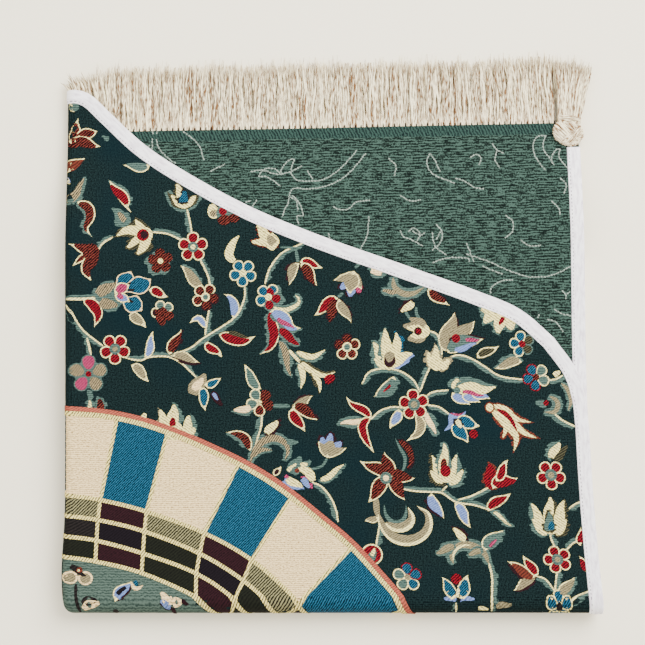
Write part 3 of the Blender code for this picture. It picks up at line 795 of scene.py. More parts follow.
@dataclass
class WovenPatches:
    """Collects the pattern's patches by yarn, and builds one raised piece for each yarn."""

    lay: FoldedLay
    grid: ClothGrid
    first_lift_mm: float = 0.05
    layer_mm: float = 0.035
    root_mm: float = 0.15
    bend_lift: float = 1.7  # keeps the layers apart where flat triangles span the bend
    pressed: float = 0.12  # how much of its height the pattern keeps against the floor
    bend_margin: float = 2.0
    bent_step: float = 0.9
    level_step: float = 3.5
    hem_inset: float = 0.0045  # metres, so that a patch ends beneath the tape
    patches: dict[Yarn, list] = field(default_factory=dict)

    def __post_init__(self) -> None:
        """Takes the inner points of the patches from the cloth's own grid."""
        flat = self.grid.points() / MM
        rows = flat[:, -1, 1] > 0.0
        self.face_points = flat[rows].reshape(-1, 2)
        self.hem = self.grid.cut.hem_line(self.lay, self.hem_inset) / MM

    def within_hem(self, outline: Points) -> Points:
        """Pulls an outline's points back to under the tape, and to the centreline."""
        kept = outline.copy()
        kept[:, 0] = np.maximum(kept[:, 0], 0.0)
        hem = self.hem
        high = kept[:, 1] > 250.0
        if not high.any():
            kept[:, 0] = np.minimum(kept[:, 0], hem[:, 0].max())
            return kept
        apart = np.linalg.norm(kept[:, None] - hem[None], axis=2)
        near = apart.argmin(axis=1)
        behind, ahead = np.maximum(near - 1, 0), np.minimum(near + 1, len(hem) - 1)
        run = hem[ahead] - hem[behind]
        offset = kept - hem[near]
        outside = run[:, 0] * offset[:, 1] - run[:, 1] * offset[:, 0] < 0.0
        kept[outside & high] = hem[near][outside & high]
        return kept

    def lay_patch(self, yarn: Yarn, outline: Points, layer: float, mirrored: bool = True) -> None:
        """Lays one patch on the face.

        Args:
            yarn: what it is woven in.
            outline: its closed outline on the flat cloth, in millimetres.
            layer: how high it lies among its neighbours.
            mirrored: whether the left half has it as well.
        """
        outline = self.within_hem(np.asarray(outline, dtype=float))
        self.patches.setdefault(yarn, []).append((outline, layer, 1.0))
        if mirrored:
            self.patches[yarn].append((outline[::-1] * MIRROR, layer, 1.0))

    def lay_reverse(self, yarn: Yarn, outline: Points, layer: float) -> None:
        """Lays one patch on the reverse, and its mirror image on the left half."""
        outline = np.asarray(outline, dtype=float)
        self.patches.setdefault(yarn, []).append((outline, layer, -1.0))
        self.patches[yarn].append((outline[::-1] * MIRROR, layer, -1.0))

    def in_last_fold(self, along_mm: Points) -> Points:
        """Tells which places the last fold bends, with a margin."""
        start = 1e3 * (self.grid.turn_end - 2.0 * self.lay.turn_half) - self.bend_margin
        end = 1e3 * self.grid.turn_end + self.bend_margin
        return (np.abs(along_mm) > start) & (np.abs(along_mm) < end)

    def fine_outline(self, outline: Points) -> Points:
        """Splits an outline's long edges, finer where the cloth bends."""
        following = np.roll(outline, -1, axis=0)
        middle = 0.5 * (outline + following)
        length = np.linalg.norm(following - outline, axis=1)
        bent = (np.abs(middle[:, 0]) < 1e3 * self.lay.centre_band + 1.0) | self.in_last_fold(middle[:, 1])
        step = np.where(bent, self.bent_step, self.level_step)
        stretches = []
        for start, end, count in zip(outline, following, np.ceil(length / step).astype(int)):
            share = np.arange(max(count, 1))[:, None] / max(count, 1)
            stretches.append(start + (end - start) * share)
        return np.concatenate(stretches)

    def inner_points(self, outline: Points) -> Points:
        """The cloth's own grid points that lie inside an outline."""
        low, high = outline.min(axis=0), outline.max(axis=0)
        grid = self.face_points
        grid = grid[((grid > low) & (grid < high)).all(axis=1)]
        if not len(grid):
            return grid
        start, end = outline, np.roll(outline, -1, axis=0)
        above = (start[None, :, 1] > grid[:, None, 1]) != (end[None, :, 1] > grid[:, None, 1])
        rise = end[:, 1] - start[:, 1]
        rise = np.where(np.abs(rise) < 1e-9, 1e-9, rise)
        crossing = start[:, 0] + (grid[:, None, 1] - start[:, 1]) / rise * (end[:, 0] - start[:, 0])
        inside = (above & (grid[:, None, 0] < crossing)).sum(axis=1) % 2 == 1
        grid = grid[inside]
        if not len(grid):
            return grid
        apart = np.linalg.norm(grid[:, None] - start[None], axis=2).min(axis=1)
        return grid[apart > 1.0]

    def patch_mesh(self, outline: Points) -> tuple[Points, Points, Points]:
        """Triangulates a patch.

        Args:
            outline: its closed outline, in millimetres.

        Returns:
            Its flat points, its triangles turned anticlockwise, and its rim's edges.
        """
        rim = self.fine_outline(outline)
        spots = [Vector(spot) for spot in np.concatenate([rim, self.inner_points(rim)])]
        result = delaunay_2d_cdt(spots, [], [list(range(len(rim)))], 1, 1e-3)
        points = np.array([tuple(spot) for spot in result[0]]).reshape(-1, 2)
        triangles = np.array([tuple(face) for face in result[2] if len(face) == 3], dtype=int).reshape(-1, 3)
        if not len(triangles):
            return points, triangles, triangles[:, :2]
        first, second, third = (points[triangles[:, corner]] for corner in range(3))
        turn = (second - first)[:, 0] * (third - first)[:, 1] - (second - first)[:, 1] * (third - first)[:, 0]
        triangles[turn < 0.0] = triangles[turn < 0.0][:, ::-1]
        triangles = triangles[np.abs(turn) > 1e-5]
        edges = np.concatenate([triangles[:, [0, 1]], triangles[:, [1, 2]], triangles[:, [2, 0]]])
        keys = np.sort(edges, axis=1)
        _, place, count = np.unique(keys, axis=0, return_index=True, return_counts=True)
        return points, triangles, edges[place[count == 1]]

    def build(self, prefix: str, yarns: dict[Yarn, WovenFinish]) -> list[bpy.types.Object]:
        """Builds one piece for each yarn, its patches raised off the cloth with sides all round."""
        pieces = []
        for yarn, patches in self.patches.items():
            flat, lifts, sides, faces = [], [], [], []
            count = 0
            for outline, layer, side in patches:
                points, triangles, rim = self.patch_mesh(outline)
                if not len(triangles):
                    continue
                lift = self.first_lift_mm + self.layer_mm * layer
                flat += [points, points]
                lifts += [np.full(len(points), lift), np.full(len(points), -self.root_mm)]
                sides.append(np.full(2 * len(points), side))
                low = len(points)
                walls = np.stack([rim[:, 1], rim[:, 0], rim[:, 0] + low, rim[:, 1] + low], axis=1)
                new = [triangles + count, walls + count]
                faces += [list(face if side > 0 else face[::-1]) for group in new for face in group.tolist()]
                count += 2 * low
            flat, side = np.concatenate(flat), np.concatenate(sides)
            lift = np.concatenate(lifts)
            lift = np.where(self.in_last_fold(flat[:, 1]) & (lift > 0.0), self.bend_lift * lift, lift)
            outward = side * (0.5 * self.lay.thickness + lift * MM)
            placed = self.lay.place(flat[:, 0] * MM, flat[:, 1] * MM, outward)
            placed[:, 2] = np.where(placed[:, 2] < 0.0, self.pressed * placed[:, 2], placed[:, 2])
            name = f"{prefix}_{yarn.value}"
            pieces.append(make_piece(name, placed, faces, yarns[yarn].material(), flat * MM))
            LOG.info("%s: %d patches, %d faces", name, len(patches), len(faces))
        return pieces


def ragged(outline: Points, depth: float, pitch: float = 1.2) -> Points:
    """Gives an outline the stepped, uneven ends of floated weft picks.

    Args:
        outline: a closed outline, in millimetres.
        depth: how far the ends differ.
        pitch: how far apart the picks lie.

    Returns:
        The outline with its points moved across, pick by pick.
    """
    fine = even_steps(outline, 0.6, closed=True)
    pick = np.floor(fine[:, 1] / pitch)
    side = np.sign(inward(np.concatenate([fine, fine[:1]]))[:-1, 0])
    fine = fine.copy()
    fine[:, 0] -= depth * (hashed(pick * 1.37 + side * 5.1) - 0.45) * side
    fine[:, 1] += 0.25 * depth * (hashed(np.floor(fine[:, 0] / 1.5) * 2.11) - 0.5)
    return fine


@dataclass
class Arabesque:
    """Draws the rug's floral repeats on the flat cloth, in millimetres."""

    patches: WovenPatches
    view: PhotoView
    line_mm: float = 0.78
    step_mm: float = 1.5
    row_rise: float = 1.1  # layers from one row of a group up to the next
    top: float = 0.0

    def flat(self, pixels: tuple[Spot, ...]) -> Points:
        """The flat places of pixels on the face."""
        return self.view.flat_mm(self.patches.lay, pixels)

    def lay_on(self, yarn: Yarn, outline: Points, layer: float) -> None:
        """Lays a patch on the face."""
        self.patches.lay_patch(yarn, outline, layer)

    def disc(self, centre: Points, radius: float, yarn: Yarn, layer: float, stretch: float = 1.0) -> None:
        """Lays a round spot."""
        turn = np.linspace(0.0, 2.0 * math.pi, max(9, int(3.4 * radius + 5)), endpoint=False)
        spot = np.stack([np.cos(turn), stretch * np.sin(turn)], axis=1)
        self.lay_on(yarn, centre + radius * spot, layer)

    def strip(self, spine: Points, left: Points, right: Points) -> Points:
        """The closed outline between two distances to the left of a spine."""
        steps = inward(spine)
        return np.concatenate([spine + steps * right[:, None], (spine + steps * left[:, None])[::-1]])

    def spine(self, row: Blade) -> Points:
        """The line a leaf grows along: through its charted spots, or bowed with a flick at its tip."""
        if len(row.through) > 2:
            return even_steps(curve_through(self.flat(row.through)), self.step_mm)
        base, tip = self.flat(row.through)
        length = np.linalg.norm(tip - base)
        run = (tip - base) / max(length, 1e-6)
        left = np.array([-run[1], run[0]])
        bend = base + 0.5 * (tip - base) + left * row.bow * length
        share = np.linspace(0.0, 1.0, max(7, int(length / self.step_mm)))[:, None]
        spine = (1 - share) ** 2 * base + 2 * share * (1 - share) * bend + share**2 * tip
        return spine + left * row.flick * length * math.copysign(1.0, row.bow) * np.sin(2.0 * np.pi * share)

    def blade(self, row: Blade) -> None:
        """Weaves a leaf or petal: shade and rim below, its fill on top."""
        spine = self.spine(row)
        share = np.linspace(0.0, 1.0, len(spine))
        rise = share**row.belly
        half = 0.5 * row.wide * rise**0.75 * (1.0 - rise) ** 1.25 / BLADE_PEAK
        rims = {Side.NONE: (0, 0), Side.LEFT: (1, 0), Side.RIGHT: (0, 1), Side.BOTH: (1, 1)}
        rim_left, rim_right = (self.line_mm * on for on in rims[row.rim])
        if row.shade is not Side.NONE:
            side = -1.0 if row.shade is Side.RIGHT else 1.0
            reach = side * (half + row.shade_wide * np.sin(np.pi * share) ** 0.5)
            shade = self.strip(spine, np.maximum(reach, 0.0), np.minimum(reach, 0.0))
            if row.shade is Side.BOTH:
                shade = self.strip(spine, reach, -reach)
            self.lay_on(row.shade_yarn, ragged(shade, 2.2, 1.5), self.top)
        if row.rim is not Side.NONE:
            outer_left = half if rim_left else half - 0.3
            outer_right = half if rim_right else half - 0.3
            rim = self.strip(spine, outer_left, -outer_right)
            self.lay_on(row.rim_yarn, ragged(rim, 0.35, 0.9), self.top + 1.0)
        inner_left = np.maximum(half - rim_left, -0.4 * half)
        inner_right = np.maximum(half - rim_right, -0.4 * half)
        wide = inner_left + inner_right > (0.12 if row.rim is Side.NONE else 0.35)
        if wide.sum() > 3:
            fill = self.strip(spine[wide], inner_left[wide], -inner_right[wide])
            self.lay_on(row.fill, ragged(fill, 0.35, 0.9), self.top + 2.0)
        if row.core is not None and wide.sum() > 5:
            inside = wide & (share > 0.12) & (share < 0.75)
            core = self.strip(spine[inside], 0.42 * half[inside], -0.42 * half[inside])
            self.lay_on(row.core, core, self.top + 3.0)

    def blossom(self, row: Blossom) -> None:
        """Weaves an open flower of round petals about its heart."""
        centre = self.flat((row.at,))[0]
        if row.shade_deg is not None:
            lean = math.radians(row.shade_deg)
            aside = centre + 1.9 * np.array([math.cos(lean), math.sin(lean)])
            turn = np.linspace(0.0, 2.0 * math.pi, 48, endpoint=False)
            reach = (row.reach + 0.6) * (0.90 + 0.10 * np.cos(PETALS * (turn - math.radians(row.turn))))
            halo = aside + reach[:, None] * np.stack([np.cos(turn), np.sin(turn)], axis=1)
            self.lay_on(Yarn.SAGE, ragged(halo, 1.6, 1.5), self.top)
        turn = np.linspace(0.0, 2.0 * math.pi, 20, endpoint=False)
        long, wide = 0.35 * row.reach, 0.30 * row.reach
        for number in range(PETALS):
            angle = math.radians(row.turn) + 2.0 * math.pi * number / PETALS
            way = np.array([math.cos(angle), math.sin(angle)])
            side = np.array([-way[1], way[0]])
            fill = row.fills[number % len(row.fills)]
            rim = row.rims[number % len(row.rims)]
            egg = np.stack([np.cos(turn), np.sin(turn) * (1.0 + 0.24 * np.cos(turn))], axis=1)
            middle = centre + way * (row.reach - self.line_mm - long)
            for yarn, more, layer in ((rim, self.line_mm, 1.0), (fill, 0.0 if rim is not None else 0.6, 2.0)):
                if yarn is not None:
                    sized = egg * (long + more, wide + more)
                    outline = middle + sized[:, :1] * way + sized[:, 1:] * side
                    self.lay_on(yarn, outline, self.top + layer + 0.03 * number)
        for place, (share, yarn) in enumerate(row.heart):
            self.disc(centre, share * row.reach, yarn, self.top + 3.2 + 0.8 * place)

    def stem(self, row: Stem) -> None:
        """Weaves a stem: a cream line, with sage picks in its shade."""
        path = even_steps(curve_through(self.flat(row.through)), 2.0)
        share = np.linspace(0.0, 1.0, len(path))
        taper = np.minimum(1.0, 6.0 * np.minimum(share, 1.0 - share) + 0.35)
        if row.shade is not Side.NONE:
            side = 1.0 if row.shade is Side.LEFT else -1.0
            reach = side * row.shade_wide * taper
            shade = self.strip(path, np.maximum(reach, 0.0), np.minimum(reach, 0.0))
            self.lay_on(Yarn.SAGE, ragged(shade, 2.0, 1.5), self.top - 0.6)
        half = np.full(len(path), 0.5 * row.wide) * np.minimum(1.0, taper + 0.3)
        self.lay_on(row.yarn, ragged(self.strip(path, half, -half), 0.3, 0.9), self.top + 0.4)

    def scroll(self, row: Scroll) -> None:
        """Weaves a curled acanthus band that swells along its middle."""
        path = even_steps(curve_through(self.flat(row.through)), self.step_mm)
        share = np.linspace(0.0, 1.0, len(path))
        half = 0.5 * row.wide * np.sin(np.pi * share**row.belly) ** 0.8
        if row.shade_wide > 0.0:
            outer = half + row.shade_wide
            self.lay_on(Yarn.SAGE, ragged(self.strip(path, outer, -outer), 1.3), self.top - 0.3)
        self.lay_on(row.fill, self.strip(path, half, -half), self.top + 1.2)

    def seed(self, row: Seed) -> None:
        """Weaves a round or oval seed."""
        self.disc(self.flat((row.at,))[0], row.reach, row.yarn, self.top + row.layer, row.stretch)

    def draw(self, groups: list) -> None:
        """Weaves groups of rows, each row of a group a little above the one before."""
        drawn = {
            Blade: self.blade,
            Blossom: self.blossom,
            Stem: self.stem,
            Scroll: self.scroll,
            Seed: self.seed,
        }
        for group in groups:
            self.top = 0.0
            for row in group:
                drawn[type(row)](row)
                if not isinstance(row, Stem):
                    self.top += self.row_rise


class Blade(NamedTuple):
    """A leaf or petal through the photograph's pixels, from its base to its tip."""

    through: tuple[Spot, ...]
    wide: float  # millimetres
    bow: float  # sideways between two spots, as a share of its length, plus to the left
    fill: Yarn
    rim: Side = Side.BOTH
    shade: Side = Side.NONE
    shade_yarn: Yarn = Yarn.SAGE
    shade_wide: float = 1.9  # millimetres
    belly: float = 1.0  # above 1 it is widest nearer its tip
    flick: float = 0.04  # how far its tip turns back, as a share of its length
    core: Yarn | None = None
    rim_yarn: Yarn = Yarn.LINE


class Blossom(NamedTuple):
    """An open flower of five petals, charted by its centre's pixel."""

    at: Spot
    reach: float  # millimetres to its petals' ends
    turn: float  # degrees
    fills: tuple[Yarn, ...]
    heart: tuple[tuple[float, Yarn], ...]  # each disc's share of the reach
    rims: tuple[Yarn | None, ...] = (Yarn.LINE,)
    shade_deg: float | None = None


class Stem(NamedTuple):
    """A stem through pixels of the photograph."""

    through: tuple[Spot, ...]
    shade: Side = Side.NONE
    wide: float = 1.0  # millimetres
    shade_wide: float = 2.6
    yarn: Yarn = Yarn.LINE


class Scroll(NamedTuple):
    """A curled band through pixels of the photograph."""

    through: tuple[Spot, ...]
    wide: float  # millimetres
    fill: Yarn = Yarn.CREAM
    shade_wide: float = 1.4
    belly: float = 1.0


class Seed(NamedTuple):
    """A round seed, charted by its centre's pixel."""

    at: Spot
    reach: float  # millimetres
    yarn: Yarn
    layer: float = 2.0
    stretch: float = 1.0


L, R, N, B = Side.LEFT, Side.RIGHT, Side.NONE, Side.BOTH
LINE, CREAM, LINEN, SAGE, TICK = Yarn.LINE, Yarn.CREAM, Yarn.LINEN, Yarn.SAGE, Yarn.TICK
RED, MAROON, WINE, BLUE, LILAC = Yarn.RED, Yarn.MAROON, Yarn.WINE, Yarn.BLUE, Yarn.LILAC
PINK, OLIVE, TAUPE, NIGHT = Yarn.PINK, Yarn.OLIVE, Yarn.TAUPE, Yarn.NIGHT
RUST, PLUM = Yarn.RUST, Yarn.PLUM

UPPER_LEFT = [
    # around the peak and down the centreline
    [Scroll(((88, 109), (80, 102), (72, 104), (71, 110), (75, 112)), 2.4, LINE, 0), Seed((75, 107), 2.6, SAGE)],
    [
        Blade(((71, 144), (78, 118)), 7, -0.1, MAROON, R, belly=0.8),
        Blade(((75, 141), (97.5, 131.5)), 7.4, 0.2, MAROON, belly=1.5),
        Blade(((69, 143), (101, 147)), 7, 0.15, MAROON, L),
        Seed((74, 143), 3.2, MAROON, 3),
    ],
    [Blade(((66, 174), (85.5, 158)), 7, 0.2, RUST, L, belly=0.9)],
    [Blade(((66, 178), (71, 184)), 3.2, 0, LILAC, R)],
    [Blade(((64, 203), (86, 176)), 5, -0.14, TICK, N, R, SAGE, 2.4, belly=0.8)],
    [Blade(((77, 202), (88, 207), (90.5, 217), (86, 228), (91.5, 237)), 6.2, 0, MAROON, L, R, belly=0.9)],
    [Blade(((105, 141), (109, 137)), 3, 0, SAGE, N, L)],
    [Blade(((150, 165), (123, 165)), 6, 0.16, SAGE, L)],
    [Stem(((111, 186), (120, 200), (131, 212))), Blade(((128, 207), (109, 180)), 6.2, -0.06, RED, R, R)],
    [
        Blade(((131, 226), (112, 208)), 7.6, 0.05, SAGE, N, B, SAGE, 1),
        Blade(((128, 222), (116, 211)), 3.8, 0.05, TICK, N),
    ],
    [
        Blade(((150, 237), (142, 229), (134, 217.5)), 4.8, 0, CREAM, N, B, OLIVE),
        Blade(((147, 234), (129, 230), (114.5, 237)), 6, 0, CREAM, N, B, OLIVE),
        Blade(((145, 237), (124.5, 249)), 4.4, -0.1, CREAM, N, B, OLIVE),
        Blade(((149, 235), (143, 247), (136, 256)), 6, 0, CREAM, N, B, OLIVE),
        Seed((145, 235), 4.9, CREAM, 0.4),
        Seed((143, 235), 3.9, RED, 1),
        Seed((144.5, 235), 2.4, WINE, 1.4),
    ],
    [Stem(((152, 232), (168, 234), (183, 241)), L), Stem(((113, 237), (103, 243), (98, 250)), R)],
    [
        Blade(((98, 250), (84, 249), (68, 243.5)), 6.6, 0, MAROON, L),
        Blade(((92, 256), (82, 258), (72.5, 266)), 4.6, 0, MAROON),
        Blade(((96, 248), (92, 258), (86, 270), (91.5, 281)), 8.6, 0, MAROON, R),
        Seed((91, 252), 5.4, MAROON, 3),
    ],
    [Blossom((160.5, 261), 8.2, 95, (MAROON,), ((0.22, CREAM),), (None,), 230)],
    [Stem(((187, 209), (190, 222), (192, 235)), R)],
    [Blossom((193, 247), 9.6, 90, (RED,), ((0.34, SAGE), (0.17, CREAM)))],
    [
        Stem(((200, 259), (208, 276), (211, 292)), L),
        Stem(((209, 309), (207, 322), (205, 335)), L),
        Blade(((203, 287), (180, 265)), 6.4, 0.05, TAUPE, L, R),
        Blossom((205.5, 297), 8.8, 60, (MAROON,), ((0.32, LINE), (0.2, SAGE)), (LINE, LINE, LINE, WINE, WINE)),
    ],
    [
        Scroll(((167, 191), (174, 202), (184, 206.5), (194, 202.5), (199.5, 195)), 4, OLIVE, 1.7),
        Blade(((186, 206), (169.5, 193.5)), 4.2, 0.16, CREAM, N, B, OLIVE, 1),
        Blade(((182, 206), (198, 194)), 4.2, -0.16, CREAM, N, B, OLIVE, 1),
        Blade(((184, 202), (175, 182)), 4.6, 0, CREAM, N, B, OLIVE, 1),
        Seed((184, 203.5), 3.4, CREAM, 0.2),
        Blade(((184.5, 205), (183.5, 188)), 6, 0, BLUE, N, B, NIGHT, 0.6, belly=0.7),
    ],
    [
        Blade(((215, 215), (211, 202)), 6.4, 0.1, CREAM, N),
        Seed((214, 212.5), 3.9, CREAM, 0.6),
        Seed((213.5, 213.5), 2.3, TICK, 1),
        Seed((225, 213), 5.6, SAGE, 0),
        Seed((223, 211), 2.6, RED, 1),
        Seed((224.5, 220), 4.4, MAROON, 0.6, 0.75),
        Seed((234, 218), 3.6, MAROON, 0.7, 0.8),
    ],
    [
        Blade(((124, 294), (92, 298)), 15, 0, SAGE, N, B, SAGE, 2.4, belly=1.2),
        Blade(((96, 297), (117, 281.5)), 7, 0.05, TICK, N),
        Blade(((98, 299), (120, 307)), 6.6, -0.1, TICK, N),
    ],
    [
        Blade(((122, 293), (131, 271)), 11.5, 0.12, BLUE, belly=1.5, rim_yarn=LINEN),
        Blade(((124, 293), (151, 279)), 11.5, 0.02, BLUE, belly=1.7, rim_yarn=LINEN),
        Blade(((124, 296), (142, 311)), 11.5, -0.05, BLUE, belly=1.5, rim_yarn=LINEN),
        Blade(((124, 288), (132, 281)), 1.8, 0, NIGHT, N),
        Blade(((127, 291), (136, 289)), 1.8, 0, NIGHT, N),
        Blade(((127, 300), (135, 302)), 1.8, 0, NIGHT, N),
        Blade(((115, 294), (129, 284)), 7.4, 0.1, PINK, belly=1.4),
        Blade(((115, 293), (130, 302)), 6, -0.05, LILAC, belly=1.3),
        Blade(((116, 294), (125, 299)), 3.4, 0, PINK, N),
    ],
    [Stem(((66, 299), (82, 299), (96, 298)), L, 1.6)],
    [Blade(((149, 290), (168, 297)), 6.2, 0.05, RED)],
    [Blade(((131, 311), (146, 328)), 6.4, -0.05, TAUPE)],
    [Blade(((83, 300), (93, 305), (98, 315), (94, 327.5)), 7.4, 0, RED)],
    [Stem(((66, 305), (82, 329), (103, 346)), R), Stem(((87, 338), (89, 346), (91, 355)), R, 1.3)],
    [Blossom((115, 349), 9.8, 54, (RED,), ((0.36, SAGE), (0.18, TAUPE)))],
    [
        Blossom((163, 312), 7.6, 40, (SAGE, SAGE, WINE, MAROON, MAROON), (), (LINE, LINE, LINE, None, None)),
        Blade(((158, 306), (164, 328)), 8, 0.05, MAROON, N),
    ],
    [
        Stem(((126, 358), (140, 360.5), (150, 357), (168, 356.7), (181, 363), (191, 372), (197, 378)), L),
        Blade(((145, 358), (153, 331)), 5.6, -0.1, LILAC),
        Blade(((131, 365), (149, 382)), 6.4, 0.12, TAUPE),
    ],
    [
        Blade(((170, 355), (181.5, 329.5)), 6.4, 0.1, MAROON, L, R, WINE, 1),
        Blade(((172, 356), (200, 363)), 5.4, 0.16, TAUPE, L, R, WINE, 1.8),
        Stem(((171, 356), (190, 348), (205, 337), (221, 327), (236, 316), (244, 300), (245, 287)), R),
    ],
    [Blade(((206, 328), (200, 319), (195, 319), (189.5, 323)), 4.6, 0, LILAC)],
    [Blade(((206, 341), (222, 357.5)), 5.8, -0.06, RED, flick=0.07)],
    [
        Seed((88.5, 374), 9, SAGE, 0),
        Blossom((88.5, 374), 12.4, 90, (PINK, TICK, PINK, TICK, TICK), ((0.15, RED),), (SAGE,)),
        Stem(((88, 390), (90, 400)), L, 2, 3, yarn=SAGE),
    ],
]

FIELD_TOP = [
    # under the left part of the arch
    [Blossom((243, 273), 8.8, 50, (BLUE,), ((0.26, CREAM),))],
    [Blade(((236, 263), (229, 255), (233, 243), (240.5, 234)), 5.6, 0, CREAM, N)],
    [Blade(((233, 318), (235, 307), (231, 298), (223, 294)), 5.6, 0, LILAC, R)],
    [
        Blade(((279, 248), (264, 230)), 9, 0.08, CREAM, N),
        Blade(((277, 247.5), (249, 241)), 5.4, -0.16, CREAM, N, B, MAROON, 1.1),
        Blade(((271, 241), (255, 224)), 6.4, 0, CREAM, N, B, MAROON, 1.1),
        Blade(((276, 246), (266, 234)), 5.4, 0, TAUPE, N),
        Stem(((280, 247), (298, 248)), N, 1.4, yarn=SAGE),
    ],
    [
        Stem(((303, 243), (282, 253), (270, 268), (265, 284)), L),
        Stem(((296, 250), (298, 262)), N, 2.2, yarn=SAGE),
    ],
    [
        Blossom(
            (268.5, 297), 8.6, 60, (BLUE, BLUE, BLUE, RED, RED), ((0.26, CREAM),),
            (LINE, LINE, LINE, SAGE, SAGE), -20,
        ),
        Blade(((270, 297), (269, 286)), 4.4, -0.1, RED, N),
    ],
    [Scroll(((272, 307), (285, 310), (297, 305), (299, 299), (295, 295)), 2.6, CREAM, 1.6, 0.8)],
    [
        Blade(((299, 263), (289, 285)), 6, -0.2, TAUPE, L, R, WINE, 1.2),
        Blade(((300, 262), (323, 268)), 5.6, 0.1, RED, belly=0.9),
        Blade(((300, 264), (317, 286)), 6.8, 0.12, MAROON, L, R, WINE, 0.8),
    ],
    [
        Stem(((355, 268), (361, 262)), N, 2, yarn=SAGE),
        Blade(((351, 284), (351, 299)), 5.6, 0, LILAC, N, B, WINE, 1),
        Blade(((346, 282), (340.5, 291)), 4, 0, LILAC, N, B, WINE, 0.8),
        Blade(((357, 283), (360.5, 294.5)), 4.6, 0, PINK, N, B, WINE, 0.8),
        Blade(((355, 271), (333, 281)), 5.6, 0.16, TAUPE, R),
        Blade(((354, 271), (362, 289.5)), 6.4, -0.16, TAUPE, R),
        Blade(((354, 272), (350, 294)), 8.6, 0, TAUPE, belly=1.2),
        Seed((351, 281.5), 4.6, TAUPE),
    ],
    [
        Stem(((338, 297), (343, 293)), N, 2.2, yarn=SAGE),
        Blade(((338, 298), (314, 316)), 6.8, -0.1, RED),
        Blade(((337, 299), (328, 324)), 6.2, -0.05, MAROON, N, B, WINE, 0.6),
        Blade(((339, 299), (351.5, 323)), 6, -0.06, TAUPE, R, L, WINE, 1.2),
    ],
    [
        Blade(((270.5, 310), (272, 322), (274.5, 335), (270, 348), (260, 354)), 6.6, 0, RED, L, R, SAGE, 2),
        Blade(((277, 329), (301.5, 345.5)), 5, 0, RED, N, B),
        Blade(((271, 310), (284, 318), (291, 327), (301.5, 328.5)), 7.6, 0, LILAC, L, R),
        Blade(((276, 316), (296, 330)), 3, -0.06, PINK, N),
    ],
    [
        Blade(((278, 340), (292, 378)), 4.2, 0.08, TICK, N, B, SAGE, 1.8),
        Stem(((289, 350), (298, 360), (305, 366.5), (314, 373)), N, 1.9),
        Blade(((295, 351), (305, 355.5), (314, 356.5), (327, 348.5)), 3.6, 0, CREAM, N, R),
        Blade(((300, 361), (313, 372), (326, 375.5), (337, 371)), 3.6, 0, CREAM, N, L, OLIVE),
        Blade(((298, 362), (302, 371), (303, 380), (300, 390.5)), 3.6, 0, CREAM, N, R),
        Blade(((311, 372), (319, 382), (320, 395)), 3, 0, CREAM, N, R, OLIVE),
        Blade(((322, 381), (337, 375)), 5.6, -0.1, RED, N, belly=1.2),
    ],
    [
        Blade(((219, 334), (230, 338), (244, 341), (255.5, 336)), 7.6, 0, RED),
        Blade(((226, 333), (252, 337)), 2.8, 0, OLIVE, N),
    ],
    [Blade(((261, 389), (244, 364)), 6.6, 0.14, SAGE)],
    [
        Blossom(
            (260, 402), 9, 50, (MAROON, SAGE, SAGE, MAROON, MAROON), ((0.14, CREAM),),
            (None, LINE, LINE, LINE, None),
        ),
        Blade(((253, 405), (231, 411)), 4.4, 0.14, LINEN, N, L),
    ],
    [
        Stem(((272, 406), (290, 406)), N, 2.6, yarn=SAGE),
        Blade(((292, 406), (313, 395.5)), 6, -0.12, TAUPE, R, L, WINE, 1.2),
        Blade(((292, 407), (318, 420)), 7, 0.14, MAROON, R, L, WINE, 0.9),
        Blade(((292, 408), (305, 432)), 7, -0.1, RED),
    ],
    [Blossom((347, 347), 8.6, 18, (MAROON,), ((0.36, LINE), (0.24, SAGE)), (LINE, WINE, WINE, LINE, LINE))],
    [
        Blade(((192, 397), (205.5, 371)), 9.4, 0, TAUPE, N),
        Blade(((193, 393), (204, 375)), 5, 0, LINEN, N),
        Blade(((204, 384), (221.5, 378)), 5.4, -0.22, BLUE),
        Blade(((200, 387), (205.5, 411)), 6.6, 0.1, BLUE),
        Blade(((209, 391), (225, 407)), 4.6, 0, WINE, N),
        Blade(((211, 392), (220, 401)), 2.4, 0, LILAC, N),
    ],
]

